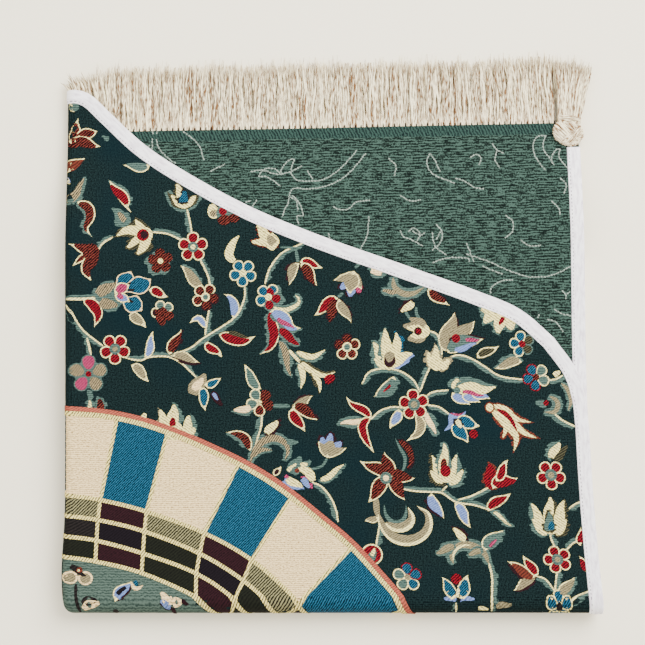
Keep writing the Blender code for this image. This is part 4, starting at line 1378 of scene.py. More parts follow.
FIELD_RIGHT = [
    # under the right part of the arch
    [Blade(((368, 270), (386, 274)), 4, 0, LINEN, N, B), Blade(((385, 270), (381, 280)), 2.4, 0, SAGE, N)],
    [
        Scroll(((393, 277), (394.5, 287), (403, 293.5), (413, 293.5), (425, 287)), 3.8, TAUPE, 2, 0.8),
        Blade(((399, 291), (380, 290.5)), 2.8, 0.1, TICK, N, B),
    ],
    [Blade(((414, 299), (399, 313.5)), 4.4, 0.14, CREAM, N, R, WINE, 1.8)],
    [Blade(((429, 287), (450, 305.5)), 5.6, -0.22, MAROON, R, L, WINE, 1)],
    [
        Stem(((405, 311), (411, 320), (418, 326)), N, 1.8, yarn=SAGE),
        Stem(((416, 307), (417, 315), (425, 326)), N, 1.8, yarn=SAGE),
        Stem(((430, 331), (437, 334.5), (441, 343), (442, 355)), R),
        Blade(((426, 331), (400.5, 324.5)), 6.4, -0.1, TAUPE, N),
        Blade(((426, 333), (405.5, 340.5)), 6.8, 0.1, TAUPE, N),
        Blade(((426, 329), (407.5, 316.5)), 5.4, -0.12, TAUPE, N),
        Seed((421.5, 331), 5.4, CREAM, 0.8, 0.85),
        Blade(((424, 331), (404, 326.5)), 4.4, -0.05, CREAM, N),
        Blade(((424, 333), (408, 337.5)), 4, 0.05, CREAM, N),
        Seed((418, 331.2), 2.6, WINE, 1.6),
        Seed((418.3, 331.2), 1.6, RED),
    ],
    [
        Stem(((362, 384), (368, 373), (378, 369), (392, 369), (404, 373), (414, 381), (420, 392)), R),
        Stem(((430, 367), (425, 378), (420, 392)), R),
        Blade(((388, 367), (372, 357)), 4.4, 0.1, CREAM, N, B, SAGE, 2.4),
        Blade(((388, 365), (371.5, 340)), 5.4, 0.08, CREAM, N, B, SAGE, 2.4),
        Blade(((389, 367), (404, 356), (414.5, 353.5)), 6.6, 0, CREAM, N, R, LILAC),
        Blade(((391, 363), (397, 344), (395.5, 330.5)), 6.6, 0, CREAM, N, R, BLUE),
        Blade(((388, 364), (386, 342), (384.5, 326.5)), 7, 0, CREAM, N, L),
        Seed((389.5, 362), 5, CREAM, 0.2),
        Seed((389.5, 358), 3.6, TAUPE, 1.5, 1.15),
        Scroll(((385, 357), (386, 363), (390, 365), (394, 361), (394, 356)), 3, WINE, 0),
    ],
    [
        Blade(((435, 368), (427, 350)), 4.2, 0.14, CREAM, N, L, TAUPE, 1.3),
        Blade(((437, 368), (434.5, 343)), 4.8, 0, CREAM, N, B, TAUPE, 1.2),
        Blade(((438, 369), (451, 356.5)), 4.2, -0.2, CREAM, N, B, TAUPE, 1.3),
        Seed((437, 364), 4.2, CREAM, 0.2),
    ],
    [
        Stem(((450, 357), (459, 355), (470, 358), (484, 366), (500, 376), (526, 380)), R),
        Blade(((448, 352), (455, 312)), 10.5, 0.14, TAUPE, L, R, WINE, 1.5),
        Blade(((456, 342), (474.5, 320.5)), 8.6, 0.06, TAUPE, R),
        Blade(((447, 352), (460, 343), (474, 341), (484, 338.5)), 9.6, 0, SAGE, R, L, WINE, 1.3),
        Blade(((452, 349), (479, 343)), 3.6, -0.1, LILAC, N),
        Blade(((463, 341), (482, 339)), 2.4, 0, PINK, N),
        Seed((456, 338.3), 2.7, RED),
    ],
    [Blade(((477, 358), (499, 346)), 5.8, 0.05, OLIVE)],
    [
        Blade(((498, 313), (478, 309.5)), 4.8, 0, CREAM, N, B),
        Blade(((494, 309), (483.5, 325.5)), 6.4, 0, CREAM, N, B),
        Blade(((501, 310), (498.5, 336)), 8, 0, CREAM, N, B),
        Blade(((508, 315), (513, 332.5)), 6.4, 0, CREAM, N, B),
        Seed((500, 315), 5, CREAM, 0.4),
        Blade(((503.5, 315), (499, 327)), 2.8, 0, RED, N),
    ],
    [
        Stem(((518, 355), (512, 362), (506, 368)), L),
        Blossom(
            (522, 344), 8.2, 29, (OLIVE, BLUE, BLUE, BLUE, OLIVE), ((0.26, RED),),
            (SAGE, LINE, LINE, LINE, SAGE),
        ),
    ],
    [Blade(((522, 362), (494, 368.5)), 6, -0.12, TAUPE, L, R)],
    [
        Stem(((548, 380), (556, 379), (563, 375)), R),
        Blossom(
            (536, 377), 8.8, 48, (SAGE, BLUE, BLUE, BLUE, SAGE), ((0.24, MAROON),), (LINE, RED, RED, RED, LINE)
        ),
        Blade(((553, 377), (561, 370)), 3.5, 0, CREAM, N),
        Scroll(((561, 383), (568, 390), (571, 401), (568, 411)), 2.8, TAUPE, 1.3, 0.8),
    ],
    [
        Stem(((553, 412), (562, 420), (576, 427)), R),
        Scroll(((549, 396), (556, 400), (558, 406), (554, 412), (544, 412)), 3, TAUPE, 1.8, 0.9),
        Blade(((549, 404), (533, 403)), 5, 0, SAGE, N),
        Seed((546, 403), 1.8, RED),
    ],
    [
        Blade(((488, 405), (504, 409), (517, 419), (533, 422.5)), 3.8, 0, CREAM, N, B, RUST, 1.1),
        Blade(((503, 413), (522, 431), (539, 439)), 4.2, 0, CREAM, N, B, RUST, 1.1),
        Blade(((490, 408), (505, 422), (516, 437), (513.5, 453)), 5.6, 0, CREAM, N, B, RUST, 1.1),
        Blade(((492, 409), (506, 424), (502, 440)), 4.6, 0, CREAM, N, B, RUST, 1.1),
        Blade(((494, 408), (508, 425)), 4.6, 0, CREAM, N),
        Blade(((495, 408), (509, 417), (519, 435)), 2.8, 0, RED, N),
        Seed((489.6, 407.4), 3.2, RUST, 1.6, 1.1),
        Seed((489.6, 407.4), 2.3, CREAM, 2, 1.1),
    ],
    [
        Blade(((455, 391), (457, 376.5)), 5, 0, CREAM, N, L, SAGE, 2.4),
        Blade(((455, 391), (479, 382)), 6.4, 0.1, CREAM, N, L, SAGE, 2.4),
        Blade(((452, 392), (471, 405)), 5.6, -0.12, LILAC, R),
        Blade(((462, 393), (481, 402.5)), 5.2, -0.1, LILAC, R),
        Blade(((471, 391), (491, 399)), 5, -0.08, LILAC, R),
        Blade(((453, 391), (470, 388), (484, 390), (498, 386)), 7.2, 0, CREAM, N, L, SAGE, 2.4),
        Blade(((460, 392), (487, 395)), 2.6, 0, PINK, N),
        Seed((457, 390.3), 2.2, SAGE, 1),
    ],
    [Blade(((394, 376), (374, 397)), 7.4, 0.2, SAGE, R, L), Blade(((391, 382), (382, 394)), 1.8, 0.1, RED, N)],
]

FIELD_MIDDLE = [
    # between the ring and the arch
    [
        Stem(((405, 408), (392, 407), (380, 411), (371, 419)), L),
        Stem(((424, 398), (433, 392), (449, 390)), R),
        Stem(((427, 405), (439, 407), (449, 414)), R),
        Blossom((414, 404.5), 9.7, 95, (RED,), ((0.4, SAGE), (0.22, TAUPE))),
    ],
    [Blade(((364, 419), (338, 425)), 3.4, 0, LINEN, N, B, SAGE, 2.2)],
    [
        Blade(((371, 419), (346.5, 396.5)), 5.6, 0, RED, flick=-0.06),
        Blade(((371, 417), (363, 424), (364.5, 436), (374, 453)), 6, 0, RED),
    ],
    [Blade(((399, 409), (390, 429)), 6.4, 0.1, LILAC)],
    [Blade(((416, 414), (421, 424), (418, 433), (406.5, 441)), 6, 0, TAUPE)],
    [Blade(((426, 410), (436.5, 437)), 3.4, -0.05, LINEN, N, B, SAGE, 2.2)],
    [
        Scroll(((466, 411), (460, 418), (452, 416), (451, 425), (444, 431)), 4, LILAC, 0),
        Scroll(((464, 412), (459, 415), (449, 413)), 1.4, PINK, 0),
        Blade(((456, 421), (480, 426)), 8, 0.04, BLUE),
        Blade(((455, 422), (468, 443)), 8.6, -0.06, BLUE),
        Blade(((455, 419), (463, 429)), 3, 0, LINE, N, B, NIGHT, 0.8),
        Seed((473.5, 434), 2.8, RED, 1),
    ],
    [
        Blade(((398, 439), (408, 449), (411.5, 460), (406, 471)), 3.8, 0, MAROON, N, L, WINE, 1),
        Scroll(((395, 438), (400, 448), (405, 458), (403, 470), (396, 471)), 2.2, SAGE, 0),
    ],
    [
        Stem(((442, 491), (447, 486))),
        Blade(((443, 480), (431, 453)), 4, 0.08, CREAM, N, L, OLIVE, 2.4),
        Blade(((446, 482), (428.5, 468.5)), 4, 0.24, CREAM, N, L, OLIVE, 2.2),
        Blade(((448, 480), (458, 452.5)), 4, -0.06, CREAM, N, R, SAGE, 2.4),
        Blade(((446, 483), (465, 467.5)), 4.2, -0.26, CREAM, N, R, SAGE, 2.4),
        Blade(((445, 479), (443, 440.5)), 5.8, 0, CREAM, N, B),
        Seed((446, 476), 4.6, CREAM, 0.2, 0.9),
        Blade(((445, 471), (442.8, 456)), 4.2, 0, MAROON, N),
        Seed((445.5, 471), 3.4, RED, 1, 1.1),
    ],
    [
        Stem(((399, 488), (414, 491), (430, 492), (442, 493), (456, 502), (474, 505), (490, 510)), L),
        Stem(((458, 500), (474, 495), (491, 486)), R),
        Blade(((391, 478), (360, 461)), 8.4, -0.1, MAROON),
        Blade(((389, 478), (384, 451.5)), 8.4, -0.1, MAROON, R),
        Blade(((388, 477), (415, 478)), 8, 0.06, MAROON, R),
        Blade(((388, 477), (405.5, 500)), 8.6, 0.06, MAROON, R),
        Blade(((389, 478), (368, 502.5)), 9, -0.08, MAROON),
        Seed((386, 478), 3.8, SAGE, 1.4),
        Seed((386, 478), 1.9, LINEN, 2.2),
    ],
    [Blade(((431, 493), (444, 519)), 6.6, -0.12, LILAC, L, R, WINE, 1.3)],
    [Blade(((455, 503), (471, 528)), 6.8, 0.04, LILAC)],
    [
        Blade(((496, 490), (488.5, 461.5)), 8.6, 0.1, RED, N, B, RUST, 0.9),
        Blade(((493, 489), (518, 478)), 8, 0.22, RED, L, flick=0.07),
        Blade(((496, 481), (508, 459.5)), 6, -0.03, RED),
    ],
    [
        Blade(((488, 511), (511, 493)), 6.6, 0.1, RED),
        Blade(((491, 511), (514, 527)), 2, 0, CREAM, N, B, SAGE, 1.5),
    ],
    [
        Stem(((262, 414), (261, 427), (257, 440), (254, 456)), R),
        Blade(((250, 451), (246, 439), (237, 433.5), (226, 432.5)), 5.8, 0, MAROON, R, L),
        Blade(((265, 436), (279, 418)), 5, 0, CREAM, N, R, WINE, 1.6),
    ],
    [
        Scroll(
            ((250, 464), (254, 452), (262, 442), (274, 438), (284, 442), (288, 450), (285, 461)),
            4.4, TICK, 1.7, 0.9,
        ),
        Scroll(((254, 457), (261, 450), (272, 450)), 2.6, TICK, 1.2),
        Blade(((284, 443), (301, 441)), 3.4, 0, SAGE, N),
    ],
    [
        Stem(((327, 458), (322, 466), (309, 470)), N, 1.6, yarn=SAGE),
        Blade(((329, 450), (330, 430.5)), 5, 0, LILAC, N, B, WINE, 1),
        Blade(((325, 449), (320.5, 435)), 4.6, 0, LILAC, N, B, WINE, 0.9),
        Blade(((334, 450), (342, 440)), 4.6, 0, LILAC, N, B, WINE, 0.9),
        Blade(((328, 458), (318.5, 441)), 6.4, -0.12, TAUPE, L),
        Blade(((327, 458), (346.5, 447.5)), 5.6, 0.14, TAUPE, R),
        Blade(((328, 457), (330.5, 438)), 8.6, 0, TAUPE, N),
    ],
    [
        Blade(((290, 476), (301, 453.5)), 7.4, 0, SAGE, N),
        Blade(((300, 471), (312, 458)), 4.8, 0, SAGE, N),
        Blade(((287, 474), (298, 461.5)), 2.4, 0.1, CREAM, N),
        Blade(((299, 466), (309.5, 463)), 2.6, 0, CREAM, N),
        Blade(((285, 476), (304.5, 489)), 4.8, -0.05, CREAM, N, R, LILAC),
        Blade(((300, 477), (312, 489)), 4, 0, LILAC, N, L, PINK, 0.9),
        Blade(((314, 483), (308, 472), (294, 468)), 5.6, 0, CREAM, N),
        Blade(((284, 475.5), (290, 478)), 2.2, 0, PINK, N),
        Seed((295.5, 471), 2.7, SAGE, 1),
        Seed((297, 470.5), 1.5, RUST, 1.6),
    ],
    [Blade(((318, 480), (346, 463.5)), 3.6, -0.1, CREAM, N, R)],
    [Stem(((312, 482), (322, 487), (331, 498), (336, 510), (338, 522)), R)],
    [Blade(((274, 476), (281, 466)), 4, 0, WINE)],
    [Blade(((103, 414), (98, 396)), 4.6, 0, MAROON, N, B), Blade(((91, 412), (89, 398)), 2.2, 0, CREAM, N, B)],
    [
        Blade(((172, 431), (158.5, 407.5)), 5.6, 0.14, CREAM, N, L, TAUPE, 1),
        Blade(((173, 431), (173, 402)), 7.6, 0, CREAM, N, R, SAGE, 2.4),
        Blade(((184, 435), (190.5, 413)), 5.4, -0.05, CREAM, N, R, SAGE, 2.4),
        Blade(((187, 437), (196, 426)), 5, 0, CREAM, N, R),
        Seed((174, 431), 6, CREAM, 0.2),
        Seed((183, 434), 4.2, CREAM, 0.2),
        Blade(((173.5, 428), (172, 415.5)), 4, 0, RED, N),
        Blade(((142, 424), (145, 411)), 4, 0, CREAM, N),
    ],
]

FIELD_LOW = [
    # the lower right, down to the tucked edge
    [
        Stem(((380, 522), (378, 534), (376, 547)), L),
        Scroll(((376, 497), (377, 512), (382, 524)), 4, TAUPE, 0, 0.6),
        Blade(((379, 517), (364, 521)), 4.2, 0.1, TAUPE, L),
        Scroll(
            ((378, 514), (383, 527), (394, 538), (408, 541), (421, 537), (429, 527), (428, 514), (417, 506)),
            6.2, LINE, 0, 0.8,
        ),
        Scroll(
            ((379, 514), (384, 526), (394, 536), (408, 539), (420, 535), (427, 526), (426, 514), (418, 508)),
            4.8, TAUPE, 0, 0.8,
        ),
        Scroll(((384, 504), (386, 515), (393, 522), (402, 521), (406, 513), (406, 505)), 3, SAGE, 0),
        Scroll(((385, 523), (396, 528), (407, 526), (412, 518), (408, 507)), 5.6, LINE, 0, 0.8),
        Scroll(((386, 522), (396, 526), (405, 524), (410, 518), (408, 509)), 3.6, TAUPE, 0, 0.8),
    ],
    [
        Seed((372, 554.5), 6.7, LINE, 1),
        Seed((372, 554.5), 5.8, RED, 1.4),
        Blade(((371, 563), (374.5, 546)), 5, 0, SAGE, N),
        Blade(((372, 558), (374.5, 546)), 2.4, 0, CREAM, N),
    ],
    [
        Blossom(
            (407.5, 577), 9.2, 90, (BLUE, SAGE, SAGE, BLUE, BLUE), ((0.2, TAUPE),),
            (RED, LINE, LINE, LINE, RED),
        ),
    ],
    [
        Scroll(
            ((489, 564), (484, 553), (473, 546), (461, 545), (453, 551), (451, 558), (454, 564)),
            4.4, TAUPE, 2, 0.8,
        ),
        Scroll(((472, 545), (461, 546), (454, 553), (453, 562)), 1.6, LINE, 0),
        Blade(((457, 547), (434, 554)), 4.4, -0.1, TAUPE, N, B),
        Blade(((484, 552), (466, 556)), 3.6, -0.2, TAUPE, N, B),
    ],
    [Stem(((489, 563), (492, 576), (492, 592), (491.5, 611)), L, 1.2, 3)],
    [Blade(((468, 541), (450.5, 527)), 4.6, 0, CREAM, N, R, WINE, 1.5)],
    [Blade(((485, 551), (504, 530)), 7.4, 0.2, SAGE, L, R), Blade(((489, 549), (497, 537)), 2, 0, PINK, N)],
    [
        Stem(((456, 603), (456, 612)), R),
        Blade(((459, 603), (441, 598)), 1.9, -0.16, LILAC, N),
        Blade(((457, 603), (477.5, 598.5)), 1.9, 0.16, LILAC, N),
        Seed((456.5, 579), 3.4, RED, 0.4),
        Blade(((457, 597), (442, 577)), 7.4, 0.1, BLUE),
        Blade(((458, 597), (468, 575)), 7.8, -0.12, BLUE),
        Blade(((458, 601), (458, 586)), 2.2, 0, LINE, N, B, NIGHT, 0.9),
    ],
    [
        Blade(((551, 461), (560.5, 440)), 5.4, 0.06, CREAM, N, L, SAGE, 2.6),
        Blade(((552, 461), (569.5, 444)), 4.4, -0.1, OLIVE, N),
    ],
    [Blossom((551, 475), 9.3, 54, (RED,), ((0.4, SAGE), (0.22, TAUPE)))],
    [
        Stem(((550, 534), (552, 541), (556, 549)), L),
        Blade(((547, 529), (530, 501.5)), 5.2, 0.06, CREAM, N, L, SAGE, 2.4),
        Blade(((550, 534), (530.5, 517)), 4.6, 0.2, CREAM, N, L, SAGE, 2.2),
        Blade(((549, 524), (549.5, 494.5)), 6.2, 0, CREAM, N, R, OLIVE),
        Blade(((553, 529), (565, 498.5)), 6.4, -0.06, CREAM, N, R, OLIVE),
        Blade(((552, 534), (567.5, 517)), 4.6, -0.22, CREAM, N, R, OLIVE),
        Seed((550.5, 527), 4.8, CREAM, 0.2, 0.95),
        Blade(((551.5, 533), (547.5, 509)), 6.4, 0, SAGE, N, B, OLIVE, 0.7, belly=0.7),
        Blade(((551.5, 532), (551, 519)), 3.6, 0, BLUE, N),
    ],
    [Stem(((566, 551), (571, 545), (579, 540)), L), Stem(((569, 509), (574, 505), (582, 501)), R)],
    [Blade(((581, 546), (581, 527)), 4.5, 0.1, RED, L), Blade(((590, 572), (579, 556)), 5, 0.05, RED, R)],
    [
        Stem(((558, 569), (556, 580), (555, 594)), L),
        Stem(((535, 576), (545, 579), (555, 591)), R),
        Stem(((569, 603), (577, 596), (592, 590)), R),
        Blossom((557.5, 559.5), 8.9, 36, (RED,), ((0.4, SAGE), (0.2, TAUPE))),
        Blade(((536, 578), (513.5, 591)), 6, -0.14, TAUPE, R, L, WINE, 1.5),
        Blade(((536, 577), (507, 561.5)), 6.6, 0.04, RUST, R, L, WINE, 1.3),
        Blade(((536, 577), (523, 555)), 6.2, -0.08, RED),
    ],
    [Blade(((561, 598), (575, 577)), 6.2, 0.1, TAUPE, L, R)],
    [Blossom((559.5, 607), 8.4, 90, (BLUE,), ((0.24, NIGHT),), (CREAM,))],
    [
        Blade(((494, 609), (514.5, 603.5)), 2.6, 0.1, TAUPE, N),
        Blade(((476, 609.5), (491, 609)), 1.8, 0.1, CREAM, N),
    ],
]

SPRIGS = [
    # on the pale field inside the ring
    [
        Stem(((76, 584), (76, 598), (81, 612)), N, 1.9, yarn=NIGHT),
        Blade(((81, 608), (100, 600)), 3.4, 0.24, NIGHT, N),
        Blade(((82, 611), (102, 601)), 3.6, 0.16, LINEN, N),
        Seed((70.7, 577.4), 4.2, LINEN, 1),
        Seed((85.4, 578.2), 4.4, LINEN, 1.2),
        Seed((70.7, 577.6), 3, TAUPE, 1.4),
        Seed((85.4, 578.4), 3.2, TAUPE, 1.4),
        Blade(((67, 565), (89, 577)), 3.6, 0, NIGHT, N),
        Seed((79.4, 569.8), 1.9, RUST, 1.2),
        Seed((78.6, 570.4), 0.8, CREAM, 1.6),
    ],
    [
        Blade(((115.5, 602), (131.5, 581)), 6.6, 0.1, LILAC, L, R, WINE, 1.3, core=PLUM),
        Scroll(((131, 581), (134, 588), (139, 588), (143, 585)), 2.4, LINEN, 0),
        Blade(((133, 580), (139, 587)), 2.6, 0, BLUE, N),
    ],
    [
        Blade(((172, 606), (158, 591)), 4.2, 0, LINEN, N, core=BLUE),
        Blade(((173, 607), (158, 601)), 3.2, 0, LILAC, N, L, WINE, 0.8),
        Blade(((172, 606), (170, 595)), 2.6, 0, LINEN, N),
        Blade(((171, 606), (184, 600)), 3.8, 0.1, LINEN, N, core=BLUE),
        Blade(((180, 601), (190, 604)), 1.8, 0, WINE, N),
        Blade(((171, 606), (178, 613)), 2.4, 0, WINE, N),
    ],
    [Seed((116, 611.5), 1.8, NIGHT)],
]

TRACES = [
    # floats of the pattern that show on the reverse, as lines through pixels of the photograph
    (
        (357, 150), (343, 166), (327, 178), (313, 181), (297, 180), (291, 172), (294, 160), (289, 160),
        (282, 168), (281, 175),
    ),
    ((281, 174), (275, 169), (265, 169), (259, 176), (267, 177), (281, 186)),
    ((307, 170), (313, 179)),
    (
        (366, 153), (353, 169), (338, 181), (322, 187), (306, 189), (292, 189), (288, 203), (285, 209),
        (282, 217),
    ),
    ((292, 195), (299, 203), (303, 215), (297, 216), (299, 225)),
    ((210, 172), (217, 168), (225, 164)),
    ((252, 207), (257, 200)),
    ((245, 202), (251, 201)),
    ((333, 206), (338, 209), (348, 209), (357, 202), (370, 200)),
    ((328, 233), (330, 238)),
    ((369, 216), (367, 235), (360, 250)),
    ((153, 131), (152, 150)),
    ((157, 131), (158, 146), (170, 160), (176, 163)),
    ((147, 147), (150, 145)),
    ((183, 131), (198, 144), (204, 160)),
    ((400, 230), (404, 237), (412, 240), (423, 246)),
    ((412, 231), (421, 235), (425, 232)),
    ((432, 232), (434, 243), (439, 250), (447, 255)),
    ((441, 231), (436, 240)),
    ((432, 263), (447, 258), (467, 258), (469, 262)),
    ((466, 243), (470, 252), (474, 262)),
    ((482, 266), (492, 270), (503, 274)),
    ((490, 294), (492, 287), (501, 281), (513, 280)),
    ((539, 314), (538, 318)),
    ((547, 319), (557, 323), (563, 332)),
    ((554, 309), (563, 314), (573, 316)),
    ((562, 290), (566, 294), (570, 291)),
    ((566, 294), (566, 299)),
    ((547, 136), (539, 136), (534, 141), (533, 148), (535, 156), (540, 164), (546, 170)),
    ((546, 136), (543, 143), (545, 152), (551, 160), (554, 165)),
    ((561, 149), (556, 150), (552, 156), (552, 163)),
    ((560, 149), (559, 156), (562, 162), (569, 169)),
    ((430, 153), (427, 162), (431, 172), (441, 178), (455, 183)),
    ((430, 153), (436, 162), (440, 172)),
    ((455, 178), (464, 181), (474, 187), (484, 189)),
    ((470, 158), (476, 154), (481, 158), (479, 165)),
    ((492, 143), (497, 150), (504, 153)),
    ((497, 150), (495, 160), (500, 168)),
    ((436, 224), (442, 232), (440, 243), (432, 250)),
    ((408, 232), (414, 228), (420, 234), (417, 241)),
    ((250, 172), (262, 170), (276, 174), (290, 172), (302, 166)),
    ((288, 196), (296, 201), (298, 211)),
    ((560, 178), (566, 184), (564, 194)),
    ((551, 201), (558, 207), (560, 215)),
    ((466, 254), (487, 261), (510, 271), (530, 277), (552, 275), (572, 266)),
    ((520, 240), (530, 246), (541, 245)),
    ((505, 215), (513, 222), (512, 232), (505, 238)),
    ((388, 158), (396, 166), (394, 176)),
    ((400, 195), (410, 201), (421, 200)),
]

PATTERN = [UPPER_LEFT, FIELD_TOP, FIELD_RIGHT, FIELD_MIDDLE, FIELD_LOW, SPRIGS]


@dataclass(frozen=True)
class Medallion:
    """The checked ring about the rug's pale middle, in millimetres on the flat cloth.

    Where the ring shows, these places were measured in the photograph and unfolded by a separate
    script, then rounded. Below the last fold they are guessed.
    """

    rose_mm: float = 2.9
    cord_mm: float = 2.5
    wall_mm: float = 2.2
    ends_mm: float = 8.0  # along, where the ring stops short of the middle fold
    seen_mm: float = 203.0  # along, up to where the left half lies hidden in the folds
    centre_bar: tuple[Spot, ...] = ((0, 299), (1.8, 299), (1.8, 345), (0, 345))
    rose: tuple[Spot, ...] = (
        (0, 351.5), (25, 349.3), (48, 344.5), (70.4, 336.8), (93, 327), (115.4, 316), (137.5, 302),
        (159, 284.4), (180, 265.7), (197, 245.8), (209.6, 228.9), (226, 200), (240, 165), (247, 120), (250, 75),
        (251, 8),
    )  # fmt: skip
    foot: tuple[Spot, ...] = (
        (0, 296.3), (21, 293.3), (50.2, 286), (86, 272.6), (117, 254.5), (143, 229.4), (160, 205), (177, 165),
        (189, 120), (194, 75), (195, 8),
    )  # fmt: skip
    second: tuple[Spot, ...] = (
        (0, 283.2), (21, 280.4), (49.4, 273.3), (83.7, 259.4), (112, 241), (133, 219), (148, 195), (165, 155),
        (176, 115), (181, 75), (182, 8),
    )  # fmt: skip
    third: tuple[Spot, ...] = (
        (0, 270.2), (20.8, 267.2), (49.5, 259.1), (82.1, 246.4), (106, 229), (123, 208), (137, 183), (153, 148),
        (163, 112), (168, 75), (169, 8),
    )  # fmt: skip
    inner: tuple[Spot, ...] = (
        (0, 257.2), (20.8, 254), (48.8, 246.7), (81.4, 231.5), (99, 217), (114, 198), (128, 174), (142, 143),
        (151, 110), (155, 75), (156, 8),
    )  # fmt: skip
    walls: tuple[tuple[Spot, ...], ...] = (
        ((33.7, 347.5), (22.5, 293), (21, 280.4), (20.8, 267.2), (20.8, 254)),
        ((66, 338.5), (51.5, 285.7), (50.2, 273), (49.5, 259.1), (48.8, 246.7)),
        ((111, 318), (87.3, 272), (84.5, 259), (82.1, 246.4), (81.4, 231.5)),
        ((144, 297), (116.5, 255), (111, 241.8), (105, 230), (99, 217)),
        ((181, 264.5), (144.4, 228), (132, 220), (122, 209), (114, 198)),
        ((210, 228.5), (166, 193), (151, 188), (138, 181), (127, 176)),
        ((234, 182), (178, 160), (165, 155), (151, 152), (140, 148)),
        ((246, 128), (188, 122), (176, 115), (163, 112), (151, 110)),
        ((250, 75), (194, 75), (181, 75), (168, 75), (155, 75)),
        ((251, 30), (195, 30), (182, 30), (169, 30), (156, 30)),
    )
    rows: tuple[tuple[Yarn, ...], ...] = (
        (Yarn.LINEN, Yarn.BLUE),
        (Yarn.HATCH, Yarn.WINE),
        (Yarn.MOSS, Yarn.PLUM),
        (Yarn.MOSS, Yarn.WINE),
    )

    def between(self, curve: Points, start: Spot, end: Spot) -> Points:
        """The stretch of a finely drawn curve between its points nearest to two others."""
        first, last = (int(np.linalg.norm(curve - np.array(spot), axis=1).argmin()) for spot in (start, end))
        return curve[first : last + 1]

    def lay_out(self, patches: WovenPatches) -> None:
        """Lays the field, the cells and then the lines between them."""
        charted = (self.rose, self.foot, self.second, self.third, self.inner)
        lines = [curve_through(np.array(line), 12) for line in charted]
        field_edge = np.concatenate([lines[4], [(0.0, self.ends_mm)]])
        self.lay(patches, Yarn.FIELD, field_edge[::-1], -0.5)
        first = tuple((0.0, line[0][1]) for line in lines)
        ends = [first, *self.walls, tuple((line[-1][0], self.ends_mm) for line in lines)]
        for number, (start, end) in enumerate(zip(ends[:-1], ends[1:])):
            for row, yarns in enumerate(self.rows):
                top = self.between(lines[row], start[row], end[row])
                low = self.between(lines[row + 1], start[row + 1], end[row + 1])
                yarn = yarns[number % 2]
                if number == 0 and row == 2:
                    yarn = Yarn.NIGHT
                self.lay(patches, yarn, np.concatenate([low, top[::-1]]), 0.0)
        self.lay(patches, Yarn.BLUE, np.array(self.centre_bar), 1.0)
        for wall in self.walls:
            self.line(patches, Yarn.CORD, even_steps(np.array(wall), 2.0), self.wall_mm, 2.0)
        for line in lines[1:]:
            self.line(patches, Yarn.CORD, even_steps(line, 2.0), self.cord_mm, 5.0)
        rose = even_steps(lines[0], 2.0)
        self.line(patches, Yarn.CORD, rose - inward(rose) * 3.1, 3.0, 11.0)
        self.line(patches, Yarn.ROSE, rose, self.rose_mm, 12.0)

    def line(self, patches: WovenPatches, yarn: Yarn, path: Points, wide: float, layer: float) -> None:
        """Lays a cord along a path."""
        steps = inward(path) * 0.5 * wide
        self.lay(patches, yarn, np.concatenate([path - steps, (path + steps)[::-1]]), layer)

    def lay(self, patches: WovenPatches, yarn: Yarn, outline: Points, layer: float) -> None:
        """Lays a patch on the right half, and on the left half's part that can be seen."""
        patches.lay_patch(yarn, outline, layer, mirrored=False)
        seen = outline.copy()
        seen[:, 1] = np.maximum(seen[:, 1], self.seen_mm)
        if np.ptp(seen[:, 1]) > 1.0:
            patches.lay_patch(yarn, seen[::-1] * MIRROR, layer, mirrored=False)


@dataclass(frozen=True)
class ReverseTraces:
    """What shows of the pattern on the reverse: loose floats, and the overlocked end."""

    wide_mm: float = 0.95
    float_mm: float = 2.1
    step_mm: float = 0.6
    band: tuple[float, float] = (521.6, 528.4)  # along
    band_reach: float = 316.0
    teeth: int = 87
    tooth_pitch: float = 3.6

    def lay_out(self, patches: WovenPatches, view: PhotoView) -> None:
        """Lays the lines as twisted floats and the band along the fringe."""
        for number, through in enumerate(TRACES):
            path = even_steps(curve_through(view.flat_mm(patches.lay, through, reverse=True)), self.step_mm)
            step = np.arange(len(path))
            wander = 0.45 * (hashed(np.floor(step / 3) * 1.7 + number) - 0.5)
            path = path + inward(path) * wander[:, None]
            twist = np.abs(np.sin(step * self.step_mm * math.pi / self.float_mm))
            half = 0.5 * self.wide_mm * (0.18 + 0.95 * twist)
            steps = inward(path) * half[:, None]
            patches.lay_reverse(Yarn.TRACE, np.concatenate([path - steps, (path + steps)[::-1]])[::-1], 1.0)
        low, high = self.band
        across = np.arange(0.0, self.band_reach, 1.1)
        loose = -low + 1.6 * (hashed(across * 3.1) - 0.5)
        end = [(self.band_reach, -high), (self.band_reach, -low)]
        strip = np.concatenate([end, np.stack([across, loose], axis=1)[::-1], [(0.0, -high)]])
        patches.lay_reverse(Yarn.BAND, strip[::-1], 0.0)
        # near-black teeth between the tufts' roots: the overlock's dark yarn, darkened further as painted shade
        # where the gaps between the tufts fall in shadow
        for number in range(self.teeth):
            gap = 3.0 + self.tooth_pitch * (number + 1.0)
            tall = 1.5 + 0.7 * hashed(number * 2.3)
            tooth = np.array([(-0.42, 0.3), (-0.30, -tall), (0.30, -tall), (0.42, 0.3)])
            patches.lay_reverse(Yarn.NIGHT, tooth[::-1] + (gap, -high), 0.0)


TAPE_FINISH = ClothFinish("white_bias_tape", "#fefbfc", "#d6ccd4", 1.7, 4.0, 0.8, 0.35, (0.25, 0.60))
THREAD_FINISH = ClothFinish("grey_white_sewing_thread", "#7d707c", "#564f57", 0.8)
# the cotton's dark tan is painted shade between the strands; its tone also differs at random from yarn to yarn
COTTON_FINISH = ClothFinish("undyed_cotton_yarn", "#fff3cc", "#6e4a26", 0.8, 5.0, 0.85, 0.15, (0.30, 0.66), 0.9)


